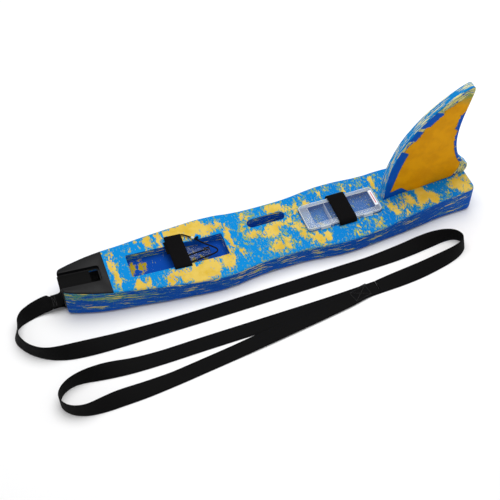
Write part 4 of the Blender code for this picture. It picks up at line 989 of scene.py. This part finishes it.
def make_fin(foam):
    """Fin as rows between its two edges, each row rounded where it meets an edge."""
    rows, columns, radius = 84, 34, 0.0030
    leading = even_points([FIN_FRONT_FOOT] + FIN_LEADING, rows)
    trailing = even_points([FIN_REAR_FOOT] + FIN_TRAILING[::-1] + [FIN_TIP_BACK], rows)
    rings, marks = [], {"border": [], "solid": [], "front": [], "rim": [], "run": []}
    for i, (front, back) in enumerate(zip(leading, trailing)):
        share = i / (rows - 1)
        span = (back - front).length
        soft = min(radius, span * 0.3)
        inner = [soft + (span - 2 * soft) * k / columns for k in range(columns + 1)]
        stops = [0.0, 0.12 * soft, 0.4 * soft] + inner
        stops += [span - 0.4 * soft, span - 0.12 * soft, span]
        ring = []
        for side in (-1, 1):
            for d in stops if side < 0 else reversed(stops):
                edge = min(d, span - d, soft)
                depth = FIN_HALF - soft + math.sqrt(max(soft**2 - (soft - edge)**2, 0.0))
                point = front.lerp(back, d / span)
                ring.append((point.x, side * depth, point.y))
                border, solid, gap = fin_marks(point, leading, trailing, share)
                marks["border"].append(border)
                marks["solid"].append(solid)
                marks["front"].append(gap)
                marks["rim"].append(max(FIN_FRONT_RIM - d, FIN_REAR_RIM - (span - d)))
                marks["run"].append(share * FIN_RUN)
        rings.append(ring)
    fin = skin("foam_fin", rings, foam, sharp=40)
    for name, values in marks.items():
        layer = fin.data.attributes.new(name, "FLOAT", "POINT")
        layer.data.foreach_set("value", values)
    settle(fin, "fin_foam", "board", "fin")


def nose_strap_path():
    """Centre line of the strap: up the nose, along the channel, down the hole and back."""
    lift = WEB_THICK / 2 + 0.0003
    face, wall = NOSE_X - lift, HOLE_X[0] + lift + 0.0004
    split = WEB_THICK + 0.00015
    floor = deck_line(NOSE_X, CHANNEL_REAR_X, -CHANNEL_DEPTH)
    lip, edge = floor(NOSE_X), floor(HOLE_X[0])
    up = [(NECK_END_X, NECK_Z + split), (-0.5180, NECK_Z + split),
          (-0.5115, NECK_Z + split + 0.0008), (face - 0.0022, NECK_Z + 0.0066),
          (face - 0.0004, NECK_Z + 0.0120), (face, 0.0400), (face, 0.0600), (face, lip - 0.0010),
          (face + 0.0003, lip + 0.0010), (NOSE_X + 0.0004, lip + lift + 0.0002)]
    top = [(x, floor(x) + lift) for x in (-0.4960, -0.4800, -0.4600, -0.4400)]
    down = [(HOLE_X[0] - 0.0002, edge + lift), (wall - 0.0003, edge + 0.0008),
            (wall, edge - 0.0014), (wall, 0.0500), (wall, 0.0300), (wall, 0.0075),
            (wall - 0.0016, 0.0034), (wall - 0.0055, 0.0018)]
    under = [(-0.4700, 0.0018), (-0.4910, 0.0018), (-0.4985, 0.0034), (-0.5040, 0.0070),
             (-0.5085, 0.0108), (-0.5130, NECK_Z - split - 0.0008),
             (-0.5190, NECK_Z - split), (NECK_END_X, NECK_Z - split)]
    return up + top + down + under


def make_nose_strap(webbing, thread):
    path = smooth_route(nose_strap_path(), 3)
    centres = [Vector((x, 0.0, z)) for x, z in path]
    strap = ribbon("nose_strap", centres, [Vector((0, 1, 0))] * len(centres), WEB_WIDTH,
                   WEB_THICK, webbing)
    settle(strap, "webbing", "board", "nose_webbing")
    low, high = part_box("nose_bar_tack")
    centre = ((low.x + high.x) / 2, (low.y + high.y) / 2)
    tack = stitched_box("neck_seam", centre, 0.0, (high.x - low.x, high.y - low.y), high.z + 0.0009,
                        thread)
    settle(tack, "thread", "board", "nose_bar_tack")


# ---- Hook and loop straps -----------------------------------------------------------------
def tape(name, node, profile, finish, body):
    """Tape across the board over the x range of its CAD node, by rows of y and rise."""
    low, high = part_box(node)
    middle = (low.x + high.x) / 2
    slope = (deck(high.x) - deck(low.x)) / (high.x - low.x)
    rows = [(middle, y, deck(middle) + rise) for y, rise in profile]
    centres = [Vector(p) for p in smooth_route(rows, 4)]
    across = Vector((1.0, 0.0, slope))
    piece = ribbon(name, centres, [across] * len(centres), high.x - low.x, TAPE_THICK,
                   finish)
    settle(piece, "tape", body, node)
    return piece


def make_tapes(finish):
    near, far = -0.0385, 0.0440
    tape("recess_band", "recess_strap_flap",
         [(near, -0.0020), (near + 0.0001, 0.0010), (near + 0.0016, 0.0030), (-0.0310, 0.0036),
          (-0.0150, 0.0030), (0.0000, 0.0028), (0.0150, 0.0032), (0.0300, 0.0038),
          (0.0440, 0.0047), (0.0500, 0.0050), (0.0560, 0.0047)], finish, "recess_flap")
    tape("recess_band_under", "recess_strap_tab",
         [(far, -0.0020), (far - 0.0008, 0.0006), (far - 0.0030, 0.0013), (0.0300, 0.0012),
          (0.0200, 0.0008), (0.0085, 0.0006)], finish, "board")
    near, far, top = -0.0405, 0.0480, 0.0125
    tape("box_band", "box_strap_flap",
         [(far, -0.0010), (far - 0.0006, 0.0040), (far - 0.0026, 0.0092), (far - 0.0070, top),
          (0.0340, top + 0.0006), (0.0150, top + 0.0005), (-0.0150, top + 0.0005),
          (-0.0340, top + 0.0004), (-0.0398, top - 0.0005), (-0.0436, top - 0.0038),
          (-0.0448, 0.0055), (-0.0450, 0.0012)], finish, "box_flap")
    tape("box_band_under", "box_strap_tab",
         [(near - 0.0020, -0.0020), (near - 0.0018, 0.0030), (near - 0.0014, 0.0075)], finish,
         "board")


# ---- Box ----------------------------------------------------------------------------------
def outline_bead(name, x, y, radius, height, thick, finish):
    """Thin round bead along a rounded rectangle at one height."""
    outline = rounded_outline(x, y, radius, 6, 0.03)
    rings = []
    for i, (px, py) in enumerate(outline):
        ax, ay = outline[i - 1]
        bx, by = outline[(i + 1) % len(outline)]
        run = Vector((bx - ax, by - ay, 0)).normalized()
        side = Vector((run.y, -run.x, 0))
        rings.append([Vector((px, py, height)) + side * (thick * math.cos(t * math.pi / 4))
                      + Vector((0, 0, thick * math.sin(t * math.pi / 4))) for t in range(8)])
    return skin(name, rings, finish, closed=True, sharp=60)


def make_box(clear, rim, label, wire):
    base = dress("box_base", clear, 0.0004)
    settle(base, "clear", "board")
    low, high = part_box("box_lid")
    panel_x, panel_y = (low.x + 0.0195, high.x - 0.0125), (-0.0265, 0.0275)
    middle = [sum(span) / 2 for span in (panel_x, panel_y)]
    milky = lid_plastic(0.13, middle, (panel_x[1] - panel_x[0]) / 2, (panel_y[1] - panel_y[0]) / 2)
    lid = dress("box_lid", milky, 0.0005)
    settle(lid, "clear", "lid")
    top = high.z
    # Painted highlight: these beads are raised ridges of the lid and the base, made whitish and
    # nearly opaque for the white lines that light draws along these ridges of clear plastic.
    panel = outline_bead("lid_panel_bead", panel_x, panel_y, 0.004, top, 0.00045, rim)
    edge = outline_bead("lid_edge_bead", (low.x + 0.0005, high.x - 0.0005), (-0.0371, 0.0371),
                        0.0088, top - 0.0014, 0.0008, rim)
    skirt = outline_bead("lid_skirt_bead", (low.x + 0.0003, high.x - 0.0003), (-0.0374, 0.0374),
                         0.0090, low.z + 0.0010, 0.0006, rim)
    for piece in (panel, edge, skirt):
        settle(piece, "clear", "lid")
    low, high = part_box("box_base")
    wall = outline_bead("base_rim_bead", (0.0860, 0.2720), (-0.0357, 0.0357), 0.0078,
                        high.z - 0.0046, 0.0006, rim)
    settle(wall, "clear", "board")
    divider = dress("box_divider", rim, 0.0003)
    settle(divider, "clear", "board")
    for side in ("left", "right"):
        latch = dress("box_latch_" + side, rim, 0.0003)
        settle(latch, "clear", "latch_" + side)
        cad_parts["box_hinge_pin_" + side].data.materials[0] = wire
    sticker = dress("box_label", label, 0.0)
    settle(sticker, "label", "lid")


# ---- Contents of the recess ---------------------------------------------------------------
def round_cord(name, rows, finish, substeps=4):
    points = [Vector(p) for p in smooth_route(rows, substeps)]
    rings = []
    side = Vector((0, 0, 1)).cross(points[1] - points[0]).normalized()
    for i, point in enumerate(points):
        run = (points[min(i + 1, len(points) - 1)] - points[max(i - 1, 0)]).normalized()
        side = (side - run * side.dot(run)).normalized()
        up = run.cross(side)
        rings.append([point + (side * math.cos(t * math.pi / 5) + up * math.sin(t * math.pi / 5))
                      * CORD_RADIUS for t in range(10)])
    return skin(name, rings, finish, sharp=60), points


def knot(name, centre, size, finish):
    """Small overhand knot: one closed cord running as a trefoil."""
    points = []
    for k in range(49):
        t = 2 * math.pi * k / 48
        points.append((centre[0] + size * (math.sin(t) + 2 * math.sin(2 * t)) / 3,
                       centre[1] + size * (math.cos(t) - 2 * math.cos(2 * t)) / 3,
                       centre[2] - size * 0.5 * math.sin(3 * t)))
    piece, _ = round_cord(name, points, finish, 1)
    return piece


def cream_bead():
    shade = Shade("cream_bead", Roughness=0.35, Subsurface_Weight=0.15)
    place = shade.place()
    tone = shade.noise(place, 260, 3, 0.5)
    return shade.finished(shade.mix(tone, srgb(226, 222, 204), srgb(204, 200, 184)),
                          tone, 0.1, 0.0002)


def make_recess_things(cord_finish, black, film):
    """Clear pouch, its cord loop with a cord lock, and a short tether with its hook."""
    pouch = make_pouch(film)
    lock = dress("cord_lock", cream_bead(), 0.0)
    settle(lock, "black_plastic", "board")
    clip = dress("tether_clip", black, 0.0006)
    settle(clip, "black_plastic", "board")
    loop_rows = POUCH_CORD_START + POUCH_CORD + POUCH_CORD_END
    line_rows = TETHER_START + TETHER
    for name, node, rows, mate in (("pouch_loop", "pouch_cord", loop_rows, lock),
                                   ("pouch_line", "pouch_tether", line_rows, clip)):
        piece, points = round_cord(name, rows, cord_finish)
        settle(piece, "webbing", "board", node)


def make_knot(finish):
    """The knot that stops the bead on its cord."""
    low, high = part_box("cord_lock")
    centre = (high.x + 0.0050, low.y + 0.0012, (low.z + high.z) / 2)
    piece = knot("cord_knot", centre, 0.0030, finish)
    settle(piece, "webbing", "board")


def make_pouch(film):
    """Crumpled clear pouch lying in the recess under the band."""
    stretch = [(-0.2400, 0.0120, 0.0060), (-0.2340, 0.0235, 0.0110), (-0.2150, 0.0265, 0.0150),
               (-0.1950, 0.0255, 0.0150), (-0.1750, 0.0215, 0.0120), (-0.1580, 0.0160, 0.0085),
               (-0.1470, 0.0100, 0.0050)]
    floor = deck_line(*RECESS_X, -RECESS_DEPTH)
    rings = []
    for x, half, height in smooth_route(stretch, 12):
        base = floor(x) + 0.0008
        ring = []
        for k in range(64):
            angle = 2 * math.pi * k / 64
            lobe = math.copysign(abs(math.cos(angle))**0.6, math.cos(angle))
            rise = math.copysign(abs(math.sin(angle))**0.8, math.sin(angle))
            spot = Vector((x * 1.3, half * lobe, height * rise))
            fold = (1 - abs(noise.noise(spot * 95)))**3 - 0.45
            wrinkle = FOLD_DEPTH * fold + CREASE_DEPTH * noise.noise(spot * 330)
            lift = height / 2 * (1 + rise) + wrinkle * max(rise, 0.0)
            reach = half * lobe * (1 + SIDE_WRINKLE * wrinkle)
            ring.append(Vector((x, POUCH_Y + reach, base + lift)))
        rings.append(ring)
    pouch = skin("clear_pouch", rings, film, sharp=None)
    pouch.data.shade_smooth()
    settle(pouch, "clear", "board", "pouch")
    return pouch


# ---- Stage --------------------------------------------------------------------------------
def make_camera():
    data = bpy.data.cameras.new("camera")
    data.lens = CAMERA_LENS
    data.sensor_width = 36.0
    camera = bpy.data.objects.new("camera", data)
    bpy.context.scene.collection.objects.link(camera)
    turn = Matrix.Rotation(math.radians(CAMERA_TURN), 4, "Z")
    tilt = Matrix.Rotation(math.radians(90 - CAMERA_TILT), 4, "X")
    roll = Matrix.Rotation(math.radians(CAMERA_ROLL), 4, "Z")
    camera.matrix_world = Matrix.Translation(CAMERA_AT) @ turn @ tilt @ roll
    bpy.context.scene.camera = camera


def make_lamp(name, place, target, size, power):
    data = bpy.data.lights.new(name, "AREA")
    data.shape = "DISK"
    data.size = size
    data.energy = power
    lamp = bpy.data.objects.new(name, data)
    bpy.context.scene.collection.objects.link(lamp)
    lamp.location = place
    aim = Vector(target) - Vector(place)
    lamp.rotation_euler = aim.to_track_quat("-Z", "Y").to_euler()


def make_stage():
    shade = Shade("pale_floor", Roughness=0.9, Specular_IOR_Level=0.1)
    paper = shade.noise(shade.place(), 3.0, 2, 0.5)
    shade.link(shade.mix(paper, srgb(246, 246, 247), srgb(248, 248, 248)), "Base Color")
    mesh = bpy.data.meshes.new("floor")
    mesh.from_pydata([(-6, -6, 0), (6, -6, 0), (6, 6, 0), (-6, 6, 0)], [], [(0, 1, 2, 3)])
    floor = new_object("floor", mesh, shade.material, None)
    floor.location.z = -0.0004
    world = bpy.data.worlds.new("studio")
    world.use_nodes = True
    background = world.node_tree.nodes["Background"]
    background.inputs["Color"].default_value = (1.0, 1.0, 1.0, 1.0)
    background.inputs["Strength"].default_value = WORLD_STRENGTH
    bpy.context.scene.world = world
    make_lamp("overhead", (0.15, 0.45, 2.6), (0.0, 0.0, 0.0), 3.0, KEY_POWER)
    make_lamp("tail_side", (2.4, -0.2, 1.2), (0.0, 0.0, 0.1), 1.2, FILL_POWER)
    bpy.context.scene.view_settings.view_transform = "Standard"


def build():
    make_camera()
    webbing, thread = woven_webbing(), sewing_thread()
    make_leash(webbing, thread)
    make_hull(marbled_foam())
    make_fin(fin_foam())
    cover_finish = moulded_black("cover_plastic", 0.50)
    make_cover(cover_finish)
    # Painted shade in the nose hole: a thin black sheet.
    make_hole_shade(cover_finish)
    make_nose_strap(webbing, thread)
    tape_finish = loop_tape()
    make_tapes(tape_finish)
    for name in ANCHORS:
        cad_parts[name].data.materials[0] = tape_finish
    # The box_rims plastic is whitish and nearly opaque; on the rim beads its white is painted
    # highlight.
    make_box(clear_plastic("box_plastic", 0.10, (120, 146, 206)),
             clear_plastic("box_rims", 0.62, (232, 238, 246)), printed_label(), brushed_wire())
    cord_finish = braided_cord()
    make_knot(cord_finish)
    make_recess_things(cord_finish, moulded_black("small_black", 0.35),
                       clear_plastic("pouch_film", 0.16, (70, 84, 88), 0.04, 1.0))
    make_stage()


build()
